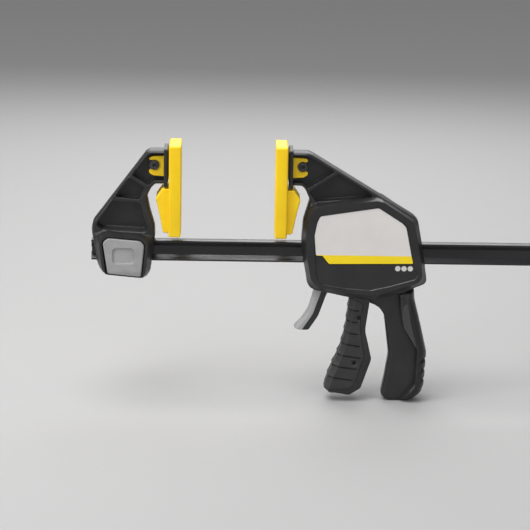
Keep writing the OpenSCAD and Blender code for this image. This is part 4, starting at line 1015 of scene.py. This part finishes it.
strap_lines = [(strap_outline, [0.06, 0.18, 0.5, 1.0, 1.8, 2.8, 4.0, 5.5])] + notch_lines
strap_shells = both_sides(strap_outline, lambda q: np.full(len(q), 0.01), strap_height, strap_lines, 2.2, 1.0)
piece("handle_back_strap", strap_shells, "moving_jaw", gloss, ["handle_back_grip"])
stipple = finish_of("stippled_rubber", (0.040, 0.040, 0.041), (0.055, 0.055, 0.056), (0.55, 0.7), 2000.0,
                    0.00009, patch=90.0)
inlay_outline = cornered(at_jaw([(129.6, -107.0), (125.4, -112.3), (125.0, -123), (127.2, -132.6),
                                 (140.6, -154.8), (138.5, -147), (133.2, -127)]), [1, 2, 4, 4, 0.8, 8, 12])
for side, name, node in ((-1, "handle_inlay_near", "handle_inlay_front"),
                         (1, "handle_inlay_far", "handle_inlay_rear")):
    outer = HANDLE_RIM + 0.3
    near, far = (-outer, -outer + 1.3) if side < 0 else (outer - 1.3, outer)
    piece(name, [plate(inlay_outline, near, far, 0.35, 3.0)], "moving_jaw", stipple, [node])

# Floor and light. A wide pale floor that runs up into a far backdrop, a soft sun, a large soft light
# straight above the clamp, a smaller one from the left, a weak one from the right and a wide one behind.
low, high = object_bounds()
floor_z = low.z / MM - 0.3
BEND, START, REACH, WALL = 1200.0, 3600.0, 6000.0, 5000.0
run = np.radians(np.linspace(0, 90, 13))
path = np.vstack([[[-REACH, floor_z]], np.stack([START + BEND * np.sin(run),
                                                 floor_z + BEND * (1 - np.cos(run))], 1),
                  [[START + BEND, floor_z + WALL]]])
across = np.array([-7000.0, 7000.0])
sheet = np.stack([np.repeat(across[:, None], len(path), 1), np.broadcast_to(path[:, 0], (2, len(path))),
                  np.broadcast_to(path[:, 1], (2, len(path)))], 2).reshape(-1, 3)
k = np.arange(len(path) - 1)
floor_mesh = bpy.data.meshes.new("floor")
floor_mesh.from_pydata((sheet * MM).tolist(), [],
                       np.stack([k, k + len(path), k + len(path) + 1, k + 1], 1).tolist())
floor_mesh.polygons.foreach_set("use_smooth", np.ones(len(k), bool))
floor_paint = bpy.data.materials.new("floor_paint")
floor_paint.use_nodes = True
floor_paint.node_tree.nodes["Principled BSDF"].inputs["Base Color"].default_value = (0.42, 0.415, 0.41, 1)
floor_paint.node_tree.nodes["Principled BSDF"].inputs["Roughness"].default_value = 0.8
floor_mesh.materials.append(floor_paint)
floor = bpy.data.objects.new("floor", floor_mesh)
bpy.context.scene.collection.objects.link(floor)


def soft_light(name, place, aim, size, power):
    """A square area light at `place` in metres, turned so that its -Z axis points at `aim`."""
    data = bpy.data.lights.new(name, "AREA")
    data.size, data.energy = size, power
    made = bpy.data.objects.new(name, data)
    away = np.array(place, float) - aim
    away /= np.linalg.norm(away)
    side = np.cross([0, 0, 1], away)
    side /= np.linalg.norm(side)
    over = np.cross(away, side)
    made.matrix_world = Matrix([[side[i], over[i], away[i], place[i]] for i in range(3)] + [[0, 0, 0, 1]])
    bpy.context.scene.collection.objects.link(made)


soft_light("key", (-0.25, -0.15, 1.25), (0.06, 0, -0.05), 1.0, 19)
soft_light("side", (-1.5, -0.9, 0.5), (0.06, 0, -0.05), 0.5, 11)
soft_light("fill", (1.4, -1.5, 0.5), (0.1, 0, -0.05), 0.9, 6)
soft_light("back", (0.1, 1.2, 0.85), (0.06, 0, 0), 1.3, 13)
sun_data = bpy.data.lights.new("sun", "SUN")
sun_data.energy, sun_data.angle = 0.7, 0.6
sun = bpy.data.objects.new("sun", sun_data)
sun.rotation_euler = np.radians([32, -14, 0])
bpy.context.scene.collection.objects.link(sun)
sky = bpy.data.worlds.new("studio")
sky.use_nodes = True
sky.node_tree.nodes["Background"].inputs["Color"].default_value = (0.9, 0.92, 1, 1)
sky.node_tree.nodes["Background"].inputs["Strength"].default_value = 0.25
bpy.context.scene.world = sky
bpy.context.scene.view_settings.view_transform = "Standard"
